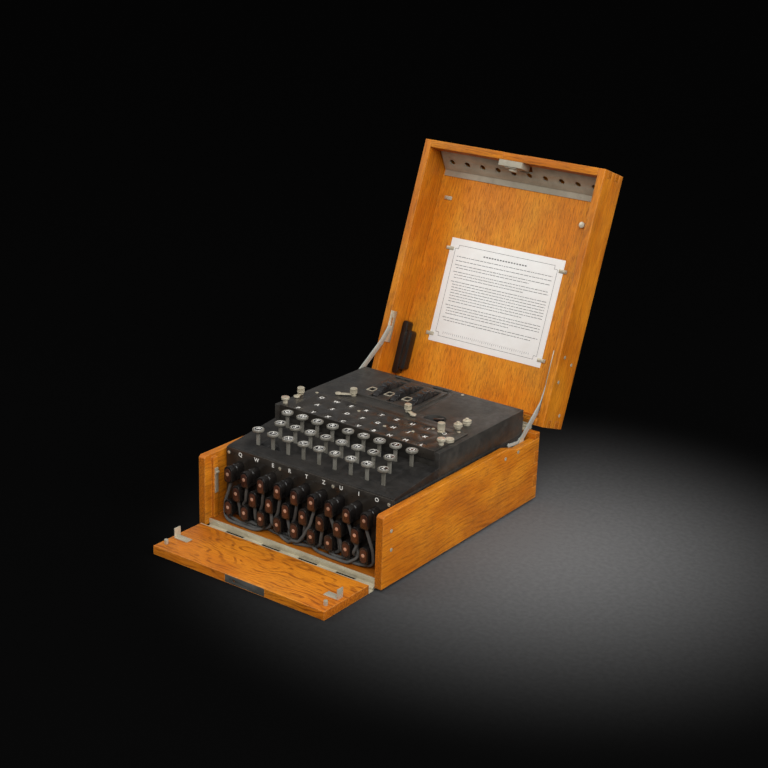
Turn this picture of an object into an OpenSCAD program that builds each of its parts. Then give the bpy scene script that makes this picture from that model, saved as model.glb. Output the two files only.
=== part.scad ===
// Rotor cipher machine in a wooden case, shown with its lid open and its front flap down.
// Millimetres. X runs to the right, Y to the back and Z up from the table.
// The origin is the centre of the case's footprint, on the table.

/* [Case] */
// Width of the case over its side walls
case_w = 280; // [274:1:300]
// Depth of the case from the closed flap to the back
case_d = 340; // [336:1:360]
// Height of the lower walls
base_h = 92; // [90:1:100]
// Thickness of the walls
wall_t = 10; // [8:0.5:12]
// Thickness of the floor
floor_t = 8; // [6:0.5:9]
// Height of the runners under the floor
runner_h = 4; // [4:0.5:8]
// Width of a runner
runner_w = 20; // [12:1:40]
// How far the floor's front edge lies behind the flap's face
floor_setback = 8; // [7:0.5:10]
// How far the side walls are cut down beside the stays
stay_cut = 8; // [4:0.5:12]
// Number of fingers in a corner joint
finger_n = 5; // [3:2:9]
// Glue line in a corner joint
glue_gap = 0.05; // [0.02:0.01:0.1]

/* [Lid] */
// Height of the lid's walls
lid_h = 53; // [50:1:70]
// Gap between the lid and the lower walls
lid_gap = 1; // [0.8:0.1:1.5]
// Thickness of the lid's panel
panel_t = 5; // [3:0.5:7]
// Angle the lid stands open
lid_angle = 110; // [95:1:115]
// How far the hinge axis lies behind the case
hinge_out = 4; // [3.5:0.1:5]
// Radius of the lid hinge's barrel
barrel_r = 2.5; // [2.2:0.1:2.8]
// Radius of the lid hinge's pin
pin_r = 1; // [0.8:0.1:1.3]
// Length of one lid hinge
hinge_len = 62; // [40:1:90]
// Thickness of a hinge leaf
leaf_t = 1.2; // [0.8:0.1:1.6]

/* [Flap] */
// Thickness of the flap
flap_t = 11; // [9:0.5:11]
// Length of the flap's board
flap_len = 82; // [76:1:84]
// Clearance between the flap and each side wall
flap_side_gap = 0.5; // [0.3:0.1:1.5]
// Radius of the flap hinge's barrel
flap_barrel_r = 2; // [1.8:0.1:2]
// Radius of the flap hinge's pin
flap_pin_r = 0.9; // [0.7:0.1:1.1]

/* [Stays] */
// Thickness of a stay arm
stay_t = 1.6; // [1.2:0.1:2]
// Width of a stay arm
stay_w = 8; // [6:0.5:9]
// Clearance between the lid wall and the machine, where the stays move
stay_gap = 3.5; // [3.4:0.1:6]
// Radius of the stay's pivot pin
stay_pin_r = 2; // [1.5:0.1:2.5]

/* [Machine] */
// Distance from the case's front to the plug panel
bay_depth = 36; // [36:0.5:40]
// Gap between the machine and the rear wall
rear_gap = 12; // [8:0.5:20]
// Thickness of the sheet metal
sheet_t = 2.5; // [1.5:0.5:3]
// Height of the machine's deck above the lower walls
deck_rise = 33; // [31:0.5:36]
// How far the lamp panel stands proud of the deck
lamp_rise = 1.2; // [0.8:0.1:2]

/* [Keyboard] */
// Slope of the keyboard plate in degrees
key_slope = 6; // [3:0.5:7]
// Distance between keys of a row
key_pitch = 23.9; // [23:0.1:24.2]
// Distance between rows of keys
key_row_pitch = 28; // [26:0.5:29]
// Radius of a key's ring
key_r = 7.5; // [6.5:0.1:8]
// Height of a key's top above the keyboard plate
key_rise = 21.2; // [18:0.1:23]
// Travel of a key
key_travel = 4.5; // [3:0.5:6]
// Width of a key's stem
stem_w = 5; // [4:0.1:6]
// Thickness of a key's stem
stem_t = 1.8; // [1.4:0.1:2.4]
// Clearance round a key's stem
stem_gap = 0.4; // [0.2:0.1:0.6]

/* [Lamps] */
// Distance between lamps of a row
lamp_pitch = 23.8; // [22:0.1:24.2]
// Distance between rows of lamps
lamp_row_pitch = 24; // [20:0.5:24]
// Radius of a lamp window
window_r = 6.2; // [5:0.1:7]

/* [Plugs] */
// Distance between plugs of a row
plug_pitch = 26; // [25.8:0.1:26.2]
// Distance between rows of plugs
plug_row_pitch = 22; // [22:0.1:22.5]
// Width of a plug
plug_w = 12.4; // [11:0.1:12.4]
// Depth of a plug
plug_d = 23.2; // [18:0.1:23.6]
// Height of a plug
plug_h = 21; // [19:0.5:21]
// Diameter of a patch cable
cable_d = 4; // [3:0.1:4.4]

/* [Rotors] */
// Radius of a thumbwheel
wheel_r = 46; // [44:0.5:47]
// Width of a thumbwheel
wheel_w = 8; // [5:0.5:9]
// Radius of a rotor's number ring
ring_r = 30; // [24:0.5:30.5]
// Distance between the rotors
rotor_pitch = 28; // [27:0.5:30]
// Radius of the spindle
spindle_r = 4; // [3:0.1:6]
// Number of positions on a rotor
rotor_n = 26; // [13:1:26]
// Radial clearance of a running fit
run_fit = 0.05; // [0.03:0.01:0.08]

/* [Hidden] */
$fn = 48;
KEY_ROWS = ["qwertzuio", "asdfghjk", "pyxcvbnml"];

// Finishes
wood = "#c98a3d";
flap_wood = "#b9702c";
black_metal = "#26262a";
bakelite = "#1d1a18";
brown_plate = "#33261f";
nickel = "#b9b7a6";
grey_steel = "#8f938c";
brass = "#a9793e";

// Levels and faces of the case
front_y = -case_d / 2;
back_y = case_d / 2;
outer_x = case_w / 2;
inner_x = outer_x - wall_t;
floor_top = runner_h + floor_t;
wall_top = runner_h + base_h;
floor_front = front_y + floor_setback;
rear_inner = back_y - wall_t;
rim_z = wall_top + lid_gap;
lid_top = rim_z + lid_h;
lid_inside = lid_top - panel_t;
hinge_y = back_y + hinge_out;
hinge_z = wall_top + lid_gap / 2;
stay_cut_front = back_y - 80;
stay_cut_back = back_y - 52;
skin = 0.3;

// Flap: its hinge, and its place when it lies open on the table
flap_hinge_y = front_y + flap_barrel_r;
flap_hinge_z = flap_barrel_r;
flap_half_w = inner_x - flap_side_gap;
flap_edge = floor_top + leaf_t + skin - flap_hinge_z;
flap_rear_y = flap_hinge_y - flap_edge;
flap_front_y = flap_rear_y - flap_len;
strip_t = 1.2;

// Machine
mach_x = inner_x - stay_gap;
mach_front = front_y + bay_depth;
mach_rear = rear_inner - rear_gap;
deck_z = wall_top + deck_rise;
lamp_z = deck_z + lamp_rise;
chassis_z = floor_top + 1;
chassis_top = wall_top + 1;
plate_front_z = wall_top + 4.3;
plate_t = 2;
panel_d = 3;
housing_front = mach_front + 92.3;
lamp_panel_x = mach_x - 7.5;
lamp_panel_back = housing_front + 71.7;
lamp_panel_t = 2.5;
lip_t = 2;

// Keys
key_rear_y = housing_front - 12.7;
guide_z = wall_top - 8;
guide_t = 3;
stem_foot = guide_z - key_travel;
cap_h = 5;

// Lamps
lamp_front_y = housing_front + 7.7;
film_t = 0.8;

// Plugs: the lowest row's contact height, and how far the body reaches above and below it
plug_low_z = floor_top + 20;
plug_below = 11;
plug_corner = 3;
plug_front = mach_front - plug_d;
insert_t = 0.8;
insert_r = 4.5;
insert_low = -5.2;

// Rotors
rotor_y = mach_rear - 57;
rotor_z = deck_z - 34;
rotor_mid_x = -18;
cover_x0 = rotor_mid_x - 56;
cover_x1 = rotor_mid_x + 45;
cover_y0 = rotor_y - 54.7;
cover_y1 = rotor_y + 46.5;
cover_gap = 0.5;
cover_axis_y = cover_y1 + 1.5;
cover_axis_z = deck_z + 1.6;
cover_barrel_r = 1.6;
slot_w = wheel_w + 3.5;
slot_reach = sqrt(pow(wheel_r, 2) - pow(rotor_z - deck_z + sheet_t, 2)) + 2;
rotor_body = rotor_pitch - wheel_w / 2 - 0.5;

// Deck: the power switch and the three latches
switch_x = 58.5;
switch_y = rotor_y - 44;
switch_r = 15;
switch_seat = deck_z - sheet_t - 7.5;
latch_knob_r = 4.8;
latch_foot_r = 3.4;
latch_left = [cover_x0 + 5, cover_y0 + 10.7];
latch_right = [cover_x1 - 9, cover_y0 + 9.7];
latch_panel = [-lamp_panel_x - latch_foot_r - 0.2, housing_front + 46.7];

// Stays: pivot and stud in the (y, z) plane at rest
right_pivot = [back_y - 28, wall_top - 8];
right_bend = [back_y + 21, wall_top + 31];
right_stud = [back_y + 41, wall_top + 67];
left_pivot = [back_y - 86, wall_top - 5];
left_bend = [back_y + 15, wall_top + 58];
left_stud = [back_y + 33, wall_top + 74];
arm_x = inner_x - 3;
arm_gap = 0.3;

// Screws in the lamp panel
PANEL_SCREWS = [[-109.7, 22.1], [-28.6, 5], [26.8, -15.9], [63.6, -7.4], [77.7, 16], [107.8, 27.3]];
screw_r = 2.1;

// Patch cables: each list runs from one plug to another, through points chosen by hand
CABLES = [
    [[-104, -152, 65], [-104, -152, 62], [-107.4, -152.1, 51.6], [-111.1, -152.2, 41.3],
        [-112.4, -152.4, 36], [-112.7, -153.2, 25], [-112.2, -153.6, 22.4], [-111, -154.3, 20],
        [-109.3, -155, 18], [-104.7, -156.2, 15.4], [-99.3, -156.2, 14.3], [-88.4, -156.5, 14.2],
        [-77.4, -156.7, 14.2], [-66.5, -156.7, 14.2], [-61.2, -155.6, 14.2], [-56, -154.7, 15.7],
        [-53.8, -153.7, 16.9], [-52, -152, 18], [-52, -152, 21]],
    [[-78, -152, 65], [-78, -152, 62], [-80.2, -150.8, 54.1], [-81.8, -149.6, 46.1],
        [-82.9, -149.2, 43.6], [-86.2, -148.4, 39.3], [-87, -147.9, 36.8], [-86.9, -146.2, 25.9],
        [-86.1, -146.7, 20.5], [-85, -146.9, 18], [-83.4, -146.4, 15.9], [-81.2, -145.5, 14.6],
        [-78.6, -144.7, 14.2], [-70.6, -142.6, 14.5], [-68.2, -142.3, 15.8], [-66.8, -143, 18],
        [-66.2, -144.7, 20.1], [-66.1, -148.6, 24], [-66, -149.8, 26.4], [-65.5, -150.9, 31.8],
        [-65, -152, 40], [-65, -152, 43]],
    [[-52, -152, 65], [-52, -152, 62], [-54.1, -150.6, 54.3], [-56, -149.2, 46.5],
        [-60.6, -146.8, 37.1], [-63.6, -143.4, 27.2], [-67.1, -139.4, 21.1], [-70.7, -138.5, 17.3],
        [-73, -138.7, 15.8], [-78.1, -139.7, 14.3], [-83.3, -141.2, 14.3], [-87.8, -143.7, 15.8],
        [-90.8, -146.5, 19.3], [-91.3, -147.8, 21.6], [-91.2, -148.7, 24.2], [-90.6, -150.4, 32.1],
        [-91, -152, 40], [-91, -152, 43]],
    [[-26, -152, 65], [-26, -152, 62], [-28.2, -150.9, 54], [-31.3, -149.4, 43.4],
        [-36.8, -148.2, 33.8], [-39.6, -147.9, 29], [-44, -147.8, 21.9], [-45.7, -147.7, 19.7],
        [-48, -147.7, 18.2], [-53, -148, 15.7], [-58.2, -149.7, 14.8], [-66.3, -151.5, 14.2],
        [-71.8, -151.3, 14.2], [-77, -149.6, 14.2], [-85.1, -151.3, 14.3], [-93.3, -151.7, 15.1],
        [-104, -152, 18], [-104, -152, 21]],
    [[0, -152, 65], [-0, -152, 62], [-2.2, -150.9, 53.9], [-5.3, -149.4, 43.2],
        [-10.3, -148.2, 33.2], [-12.5, -148.5, 28.1], [-13.2, -149.1, 25.4], [-12.5, -150, 22.9],
        [-10.8, -150.7, 20.7], [-4.3, -152.2, 15.6], [-2.2, -153.5, 14.2], [0.4, -154.5, 14.2],
        [8.3, -151.6, 14.2], [19.2, -149.2, 14.7], [27.3, -147.8, 16.4], [29.8, -148.1, 17.7],
        [33.7, -149.3, 21.4], [34.9, -149.9, 23.9], [36.9, -151.1, 31.9], [39, -152, 40],
        [39, -152, 43]],
    [[26, -152, 65], [26, -152, 62], [23.8, -152.4, 54], [20.8, -153, 43.5], [15.7, -153.7, 33.8],
        [11.8, -154.5, 26.6], [6.9, -155.5, 20.1], [4.6, -156, 18.7], [-0.8, -156.7, 18.2],
        [-3.5, -156.7, 17.5], [-8, -156.3, 14.5], [-10.6, -155.7, 14.2], [-18.6, -153.7, 15],
        [-23.6, -152.6, 16.8], [-26, -152, 18], [-26, -152, 21]],
    [[52, -152, 65], [52, -152, 62], [54.2, -150.9, 54], [56.2, -149.8, 46.1], [59.9, -148.6, 38.8],
        [60.6, -148.2, 36.1], [61, -146.4, 25.2], [60.7, -145.9, 22.5], [59.6, -145.3, 20.1],
        [57.8, -144.7, 18.1], [53.1, -143.6, 15.4], [50.5, -143, 14.5], [42.3, -142, 14.2],
        [36.8, -141.7, 14.2], [28.5, -141.6, 14.2], [20.2, -141.7, 14.2], [11.9, -142, 14.2],
        [3.6, -142.6, 14.2], [-4.6, -143, 14.5], [-6.8, -143.6, 16.1], [-7.8, -144.8, 18.4],
        [-8.4, -147.4, 23.2], [-8.6, -151.2, 27.3], [-9.4, -152.4, 29.6], [-10.4, -152.8, 32.1],
        [-13, -152, 40], [-13, -152, 43]],
    [[78, -152, 65], [78, -152, 62], [80.2, -151.1, 54.2], [83, -149.9, 43.8], [86.9, -149.1, 36.7],
        [90.3, -149.4, 29.2], [91, -150, 26.7], [91, -150.9, 24.2], [89.7, -151.9, 22],
        [87.8, -152.7, 20.2], [81.4, -155, 15.8], [78.9, -155.5, 14.8], [73.6, -155.4, 14.2],
        [62.7, -155.4, 14.2], [54.6, -155.4, 14.2], [46.5, -154.8, 14.2], [38.4, -154.1, 14.2],
        [33.1, -153.7, 14.8], [28.1, -153.1, 16.7], [26, -152, 18], [26, -152, 21]],
    [[104, -152, 65], [104, -152, 62], [107.4, -151.4, 51.5], [111.2, -150.8, 41.1],
        [112.4, -150.4, 35.8], [112.9, -149.6, 24.8], [112.4, -149.3, 22.1], [111.1, -148.8, 19.7],
        [109, -148.4, 17.9], [104.1, -147.7, 15.5], [98.8, -147.2, 14.3], [93.3, -146.6, 14.2],
        [85, -145.9, 14.2], [77, -143.9, 14.2], [74.3, -144.1, 14.2], [66.9, -147.7, 14.2],
        [58.9, -149.8, 14.3], [56.3, -150.5, 14.9], [52, -152, 18], [52, -152, 21]],
    [[-39, -152, 43], [-39, -152, 40], [-37.3, -153.1, 32], [-36.7, -152.6, 29.4],
        [-35, -148.2, 22.7], [-32.9, -145, 18.8], [-29.4, -142.3, 15.7], [-27, -141.5, 14.7],
        [-21.6, -140.4, 14.2], [-13.5, -139.4, 14.3], [-10.8, -139.1, 14.9], [-5.8, -138.6, 17.1],
        [-3.5, -139.5, 18.2], [-2.1, -141.7, 18.8], [-2.1, -147.2, 18.8], [-1.5, -149.8, 18.7],
        [0, -152, 18], [0, -152, 21]],
    [[13, -152, 43], [13, -152, 40], [10.9, -150.8, 32.1], [7.9, -149.2, 21.6], [2, -148.2, 15.9],
        [-0.4, -148, 14.5], [-8.6, -147.9, 14.2], [-16.9, -147.8, 14.2], [-22.4, -147.6, 14.2],
        [-30.7, -147, 14.2], [-41.6, -145.4, 14.2], [-52.5, -143.6, 14.2], [-63.1, -146.4, 15.5],
        [-73.2, -149.5, 18.7], [-75.7, -150.7, 18.7], [-78, -152, 18], [-78, -152, 21]],
    [[65, -152, 43], [65, -152, 40], [67.1, -151.5, 32.1], [69.1, -150.9, 24.2],
        [71.3, -150.2, 19.3], [74.9, -149.3, 15.3], [77.3, -149.2, 14.2], [85.4, -150.6, 14.4],
        [93.5, -151.2, 15.3], [104, -152, 18], [104, -152, 21]],
    [[91, -152, 43], [91, -152, 40], [90.4, -152.8, 37.4], [88.6, -154.1, 32.4],
        [87.5, -153.9, 29.9], [86.7, -152.7, 27.6], [86.4, -150.8, 25.6], [87.1, -145.1, 19.7],
        [86.5, -143.2, 17.9], [84.8, -141.4, 16.8], [82.2, -140.7, 16.9], [79.9, -141.7, 17.9],
        [78.6, -143.9, 18.8], [78.5, -149.4, 18.8], [78, -152, 18], [78, -152, 21]]
];

// Height of the keyboard plate's top at a depth y
function plate_z(y) = plate_front_z + (y - mach_front) * tan(key_slope);

// Place of item i of n in a centred row
function row_x(i, n, pitch) = (i - (n - 1) / 2) * pitch;

// Depth of a row of keys, row 0 at the back
function key_y(row) = key_rear_y - row * key_row_pitch;

// Depth of a row of lamps, row 0 at the back
function lamp_y(row) = lamp_front_y + (2 - row) * lamp_row_pitch;

// Direction of a path at point i, level at its two ends' own stretches
function heading(path, i) =
    let (before = path[max(i - 1, 0)], after = path[min(i + 1, len(path) - 1)], way = after - before)
    way / norm(way);

// A direction square to the heading, kept near the one before so that the tube doesn't twist
function square_to(way, old) = let (flat = old - way * (old * way)) flat / norm(flat);

// The side direction at every point of a path
function sides(path, i = 0, old = [0, 1, 0]) =
    i == len(path) ? [] :
    let (side = square_to(heading(path, i), old))
    concat([side], sides(path, i + 1, side));

// A closed tube of n sides that follows a path
module tube(path, d, n = 8) {
    across = sides(path);
    rings = [for (i = [0:len(path) - 1])
        let (way = heading(path, i), side = across[i], up = cross(way, side))
        [for (k = [0:n - 1]) path[i] + d / 2 * (cos(k * 360 / n) * side + sin(k * 360 / n) * up)]];
    last = (len(path) - 1) * n;
    skins = [for (i = [0:len(path) - 2]) for (k = [0:n - 1])
        let (a = i * n + k, b = i * n + (k + 1) % n)
        each [[a, b, b + n], [a, b + n, a + n]]];
    start_cap = [for (k = [1:n - 2]) [0, k + 1, k]];
    end_cap = [for (k = [1:n - 2]) [last, last + k, last + k + 1]];
    polyhedron([for (ring = rings) each ring], concat(skins, start_cap, end_cap));
}

// An outline in (y, z), made a plate from x0 to x1
module plate_x(x0, x1) {
    translate([x0, 0, 0])
        rotate([90, 0, 90])
            linear_extrude(x1 - x0)
                children();
}

// An outline in (x, z), made a plate from y0 to y1
module plate_y(y0, y1) {
    translate([0, y1, 0])
        rotate([90, 0, 0])
            linear_extrude(y1 - y0)
                children();
}

// A box between two corners
module block(low, high) {
    translate(low)
        cube(high - low);
}

// A round bar along X
module bar_x(x0, x1, y, z, r) {
    translate([x0, y, z])
        rotate([0, 90, 0])
            cylinder(r = r, h = x1 - x0);
}

// A round bar along Y
module bar_y(x, y0, y1, z, r) {
    translate([x, y1, z])
        rotate([90, 0, 0])
            cylinder(r = r, h = y1 - y0);
}

// A round bar along Z
module post(x, y, z0, z1, r) {
    translate([x, y, z0])
        cylinder(r = r, h = z1 - z0);
}

// The same shape on the left and on the right
module both_sides() {
    children();
    mirror([1, 0, 0])
        children();
}

// Shapes drawn at the closed lid, turned to where the open lid stands
module on_lid() {
    translate([0, hinge_y, hinge_z])
        rotate([-lid_angle, 0, 0])
            translate([0, -hinge_y, -hinge_z])
                children();
}

// Every second knuckle of a hinge from x0 to x1, starting with knuckle first
module knuckles(x0, x1, n, first, y, z, r, play = 0.3) {
    each_w = (x1 - x0) / n;
    for (k = [first:2:n - 1])
        bar_x(x0 + k * each_w + play / 2, x0 + (k + 1) * each_w - play / 2, y, z, r);
}

// Boxes over every second knuckle, which join it to its leaf
module knuckle_tongues(x0, x1, n, first, low, high, play = 0.3) {
    each_w = (x1 - x0) / n;
    for (k = [first:2:n - 1])
        block([x0 + k * each_w + play / 2, low[0], low[1]],
            [x0 + (k + 1) * each_w - play / 2, high[0], high[1]]);
}

// Every second finger of a corner between two heights, each drawn in by a glue line
module fingers(z0, z1, y0, y1, glue = 0) {
    each_h = (z1 - z0) / finger_n;
    for (k = [1:2:finger_n - 1])
        block([inner_x - 1, y0 + glue, z0 + k * each_h + glue],
            [outer_x + 1, y1 - glue, z0 + (k + 1) * each_h - glue]);
}

// A wall between two side walls, with a finger into each corner joint
module end_wall(y0, y1, z0, z1, joint_z1) {
    block([glue_gap - inner_x, y0, z0], [inner_x - glue_gap, y1, z1]);
    both_sides()
        intersection() {
            fingers(z0, joint_z1, y0 - 1, y1 + 1, glue_gap);
            block([inner_x - 1, y0, z0], [outer_x, y1, z1]);
        }
}

// ---------- Case ----------

module case_floor() {
    color(wood)
        block([-inner_x, floor_front, runner_h], [inner_x, rear_inner, floor_top]);
    color(wood)
        for (y = [mach_front + 20, 0, rear_inner - 20])
            block([10 - inner_x, y - runner_w / 2, 0], [inner_x - 10, y + runner_w / 2, runner_h]);
}

// A side wall's outline, cut down at the back beside the stay
module side_wall_outline() {
    corner = 3;
    polygon([
        [front_y, runner_h], [back_y, runner_h], [back_y, wall_top - stay_cut],
        [stay_cut_back, wall_top - stay_cut], [stay_cut_front, wall_top],
        [front_y + corner, wall_top], [front_y, wall_top - corner]]);
}

// The upright batten that the closed flap's edge meets
module door_stop() {
    block([inner_x - 4, front_y + flap_t + 0.7, floor_top], [inner_x, mach_front - 16, wall_top - 4]);
}

module case_walls() {
    joint_top = wall_top - stay_cut;
    color(wood)
        both_sides() {
            difference() {
                plate_x(inner_x, outer_x)
                    side_wall_outline();
                fingers(runner_h, joint_top, rear_inner - glue_gap, back_y + 1);
            }
            door_stop();
        }
    color(wood)
        difference() {
            union() {
                end_wall(rear_inner, back_y, runner_h, wall_top, joint_top);
                block([-outer_x, rear_inner, joint_top + glue_gap], [outer_x, back_y, wall_top]);
            }
            both_sides()
                block([inner_x - 6 - hinge_len, rear_inner + 1, wall_top - leaf_t],
                    [inner_x - 6, back_y + 1, wall_top + 1]);
        }
}

// The grey strip over the floor's front edge, with the fixed leaf of the flap's hinge
module floor_strip() {
    block([0.5 - inner_x, floor_front - strip_t, runner_h], [inner_x - 0.5, floor_front, floor_top]);
    difference() {
        union() {
            block([0.5 - inner_x, floor_front - strip_t, runner_h - leaf_t],
                [inner_x - 0.5, floor_front + 20, runner_h]);
            knuckle_tongues(2 - inner_x, inner_x - 2, 9, 0,
                [flap_hinge_y, runner_h - leaf_t], [floor_front, runner_h]);
            knuckles(2 - inner_x, inner_x - 2, 9, 0, flap_hinge_y, flap_hinge_z, flap_barrel_r);
        }
        for (x = [-1, 1])
            post(x * (inner_x - 40), floor_front + 10, 0, runner_h + 1, 1.6);
    }
    bar_x(2.5 - inner_x, inner_x - 2.5, flap_hinge_y, flap_hinge_z, flap_pin_r);
    for (i = [0:5])
        bar_y(row_x(i, 6, (2 * inner_x - 15) / 5) + 6, floor_front - strip_t - 0.4, floor_front,
            floor_top - 4, 2.2);
}

// One fixed leaf of the lid's hinge, with the pin
module lid_hinge_fixed() {
    x0 = inner_x - 6 - hinge_len;
    x1 = inner_x - 6;
    block([x0, rear_inner + 1, wall_top - leaf_t], [x1, hinge_y - barrel_r - 0.2, wall_top]);
    knuckle_tongues(x0, x1, 5, 0, [back_y, wall_top - leaf_t], [hinge_y - 1, wall_top]);
    knuckles(x0, x1, 5, 0, hinge_y, hinge_z, barrel_r);
    bar_x(x0 + 0.5, x1 - 0.5, hinge_y, hinge_z, pin_r);
}

// The plate inside the side wall that carries the stay's pivot pin
module stay_bracket(pivot) {
    plate_x(inner_x - 1.1, inner_x)
        union() {
            translate(pivot)
                circle(r = 5.5);
            translate([pivot[0] - 30, pivot[1] - 16])
                square([36, 12]);
        }
    bar_x(arm_x, inner_x - 0.5, pivot[0], pivot[1], stay_pin_r);
}

// The spring catch that holds the closed flap
module flap_catch() {
    z = wall_top - 24;
    block([inner_x - 5.2, mach_front - 23, z - 27], [inner_x - 4, mach_front - 17, z + 6]);
    bar_y(inner_x - 5.6, mach_front - 23, mach_front - 17, z, 1.6);
}

module case_hardware() {
    color(grey_steel)
        floor_strip();
    color(nickel)
        both_sides() {
            lid_hinge_fixed();
            flap_catch();
            for (p = [[front_y + 16, floor_top + 61], [front_y + 17, floor_top + 37],
                [stay_cut_back, wall_top - 12], [stay_cut_front - 2, wall_top - 12]])
                bar_x(outer_x, outer_x + 0.4, p[0], p[1], 2.4);
        }
    color(nickel)
        stay_bracket(right_pivot);
    color(nickel)
        mirror([1, 0, 0])
            stay_bracket(left_pivot);
}

// ---------- Machine body ----------

module chassis() {
    color(black_metal)
        difference() {
            union() {
                block([-mach_x, mach_front + panel_d, floor_top], [mach_x, mach_rear, chassis_z + 2]);
                both_sides()
                    block([mach_x - sheet_t, mach_front + panel_d, floor_top],
                        [mach_x, mach_rear, chassis_top]);
                block([-mach_x, mach_rear - sheet_t, floor_top], [mach_x, mach_rear, chassis_top]);
            }
            for (x = [-1, 1])
                post(x * (mach_x - 18), mach_rear - 14, 0, wall_top, 3);
        }
}

// Slots for every key's stem, between two heights
module stem_slots(z0, z1) {
    for (row = [0:2])
        for (i = [0:len(KEY_ROWS[row]) - 1])
            translate([row_x(i, len(KEY_ROWS[row]), key_pitch), key_y(row), (z0 + z1) / 2])
                cube([stem_w + 2 * stem_gap, stem_t + 2 * stem_gap, z1 - z0], center = true);
}

module keyboard_plate() {
    y0 = mach_front + panel_d;
    y1 = housing_front - 0.4;
    color(black_metal)
        difference() {
            union() {
                plate_x(-mach_x, mach_x)
                    polygon([[y0, plate_z(y0) - plate_t], [y1, plate_z(y1) - plate_t],
                        [y1, plate_z(y1)], [y0, plate_z(y0)]]);
                both_sides()
                    plate_x(mach_x - sheet_t, mach_x)
                        polygon([[y0, chassis_top], [y1, chassis_top], [y1, plate_z(y1)],
                            [y0, plate_z(y0)]]);
            }
            stem_slots(wall_top, deck_z);
        }
}

// Guide plate and contact board under the keys
module key_contacts() {
    y0 = key_y(2) - 12;
    y1 = key_y(0) + 10;
    color(brown_plate)
        difference() {
            block([sheet_t + 0.5 - mach_x, y0, guide_z],
                [mach_x - sheet_t - 0.5, y1, guide_z + guide_t]);
            stem_slots(guide_z - 1, guide_z + guide_t + 1);
        }
    color(brown_plate)
        both_sides()
            block([mach_x - 12, y0, chassis_z + 2], [mach_x - 8, y1, guide_z]);
    color(brass)
        block([11 - mach_x, y0 + 4, guide_z - 34], [mach_x - 11, y1 - 4, guide_z - 28]);
}

// One key, with its ringed cap and flat stem
module key(row, i) {
    x = row_x(i, len(KEY_ROWS[row]), key_pitch);
    y = key_y(row);
    top = plate_z(y) + key_rise;
    color(nickel)
        union() {
            translate([x, y, top])
                rotate_extrude()
                    polygon([[0, -cap_h], [3.4, -cap_h], [key_r - 1, 1.6 - cap_h], [key_r, 2.2 - cap_h],
                        [key_r, -0.4], [key_r - 0.4, 0], [key_r - 1.3, 0],
                        [key_r - 1.3, -0.7], [0, -0.7]]);
            block([x - stem_w / 2, y - stem_t / 2, stem_foot],
                [x + stem_w / 2, y + stem_t / 2, top - 3]);
        }
}

module plugboard_panel() {
    top = wall_top + 3.7;
    color(black_metal)
        block([-mach_x, mach_front, floor_top], [mach_x, mach_front + panel_d, top]);
    color(black_metal)
        for (i = [0:3])
            bar_y(row_x(i, 4, (2 * mach_x - 9.4) / 3), mach_front - 1, mach_front, top - 6.3, 2.6);
}

// One plug with its oval insert and contact, seen from the front at (x, z)
module plug(x, z) {
    color(bakelite)
        plate_y(plug_front, mach_front)
            union() {
                translate([x, z + plug_h - plug_below - plug_w / 2])
                    circle(d = plug_w);
                translate([x - plug_w / 2, z - plug_below + plug_corner])
                    square([plug_w, plug_h - plug_w / 2 - plug_corner]);
                translate([x - plug_w / 2 + plug_corner, z - plug_below])
                    square([plug_w - 2 * plug_corner, plug_corner + 1]);
                for (side = [-1, 1])
                    translate([x + side * (plug_w / 2 - plug_corner), z - plug_below + plug_corner])
                        circle(r = plug_corner);
            }
    color("#4a2a1c")
        plate_y(plug_front - insert_t, plug_front)
            union() {
                for (up = [insert_low, insert_low + 8])
                    translate([x, z + up])
                        circle(r = insert_r);
                translate([x - insert_r, z + insert_low])
                    square([2 * insert_r, 8]);
            }
    color("#b5683c")
        bar_y(x, plug_front - insert_t - 0.5, plug_front - insert_t, z, 2.3);
}

module plugs() {
    for (row = [0:2])
        for (i = [0:len(KEY_ROWS[row]) - 1])
            plug(row_x(i, len(KEY_ROWS[row]), plug_pitch), plug_low_z + (2 - row) * plug_row_pitch);
}

module patch_cables() {
    color("#3d3c3a")
        for (path = CABLES)
            tube(path, cable_d);
}

// The ledges that the lamp panel lies on
module lamp_ledges() {
    top = lamp_z - lamp_panel_t;
    ledge_t = 2;
    block([-lamp_panel_x, lamp_panel_back - 1.5, top - ledge_t],
        [lamp_panel_x, lamp_panel_back + 1.5, top]);
    both_sides()
        block([lamp_panel_x - 5, housing_front + sheet_t, top - ledge_t],
            [lamp_panel_x + 2, lamp_panel_back + 1.5, top]);
}

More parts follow.
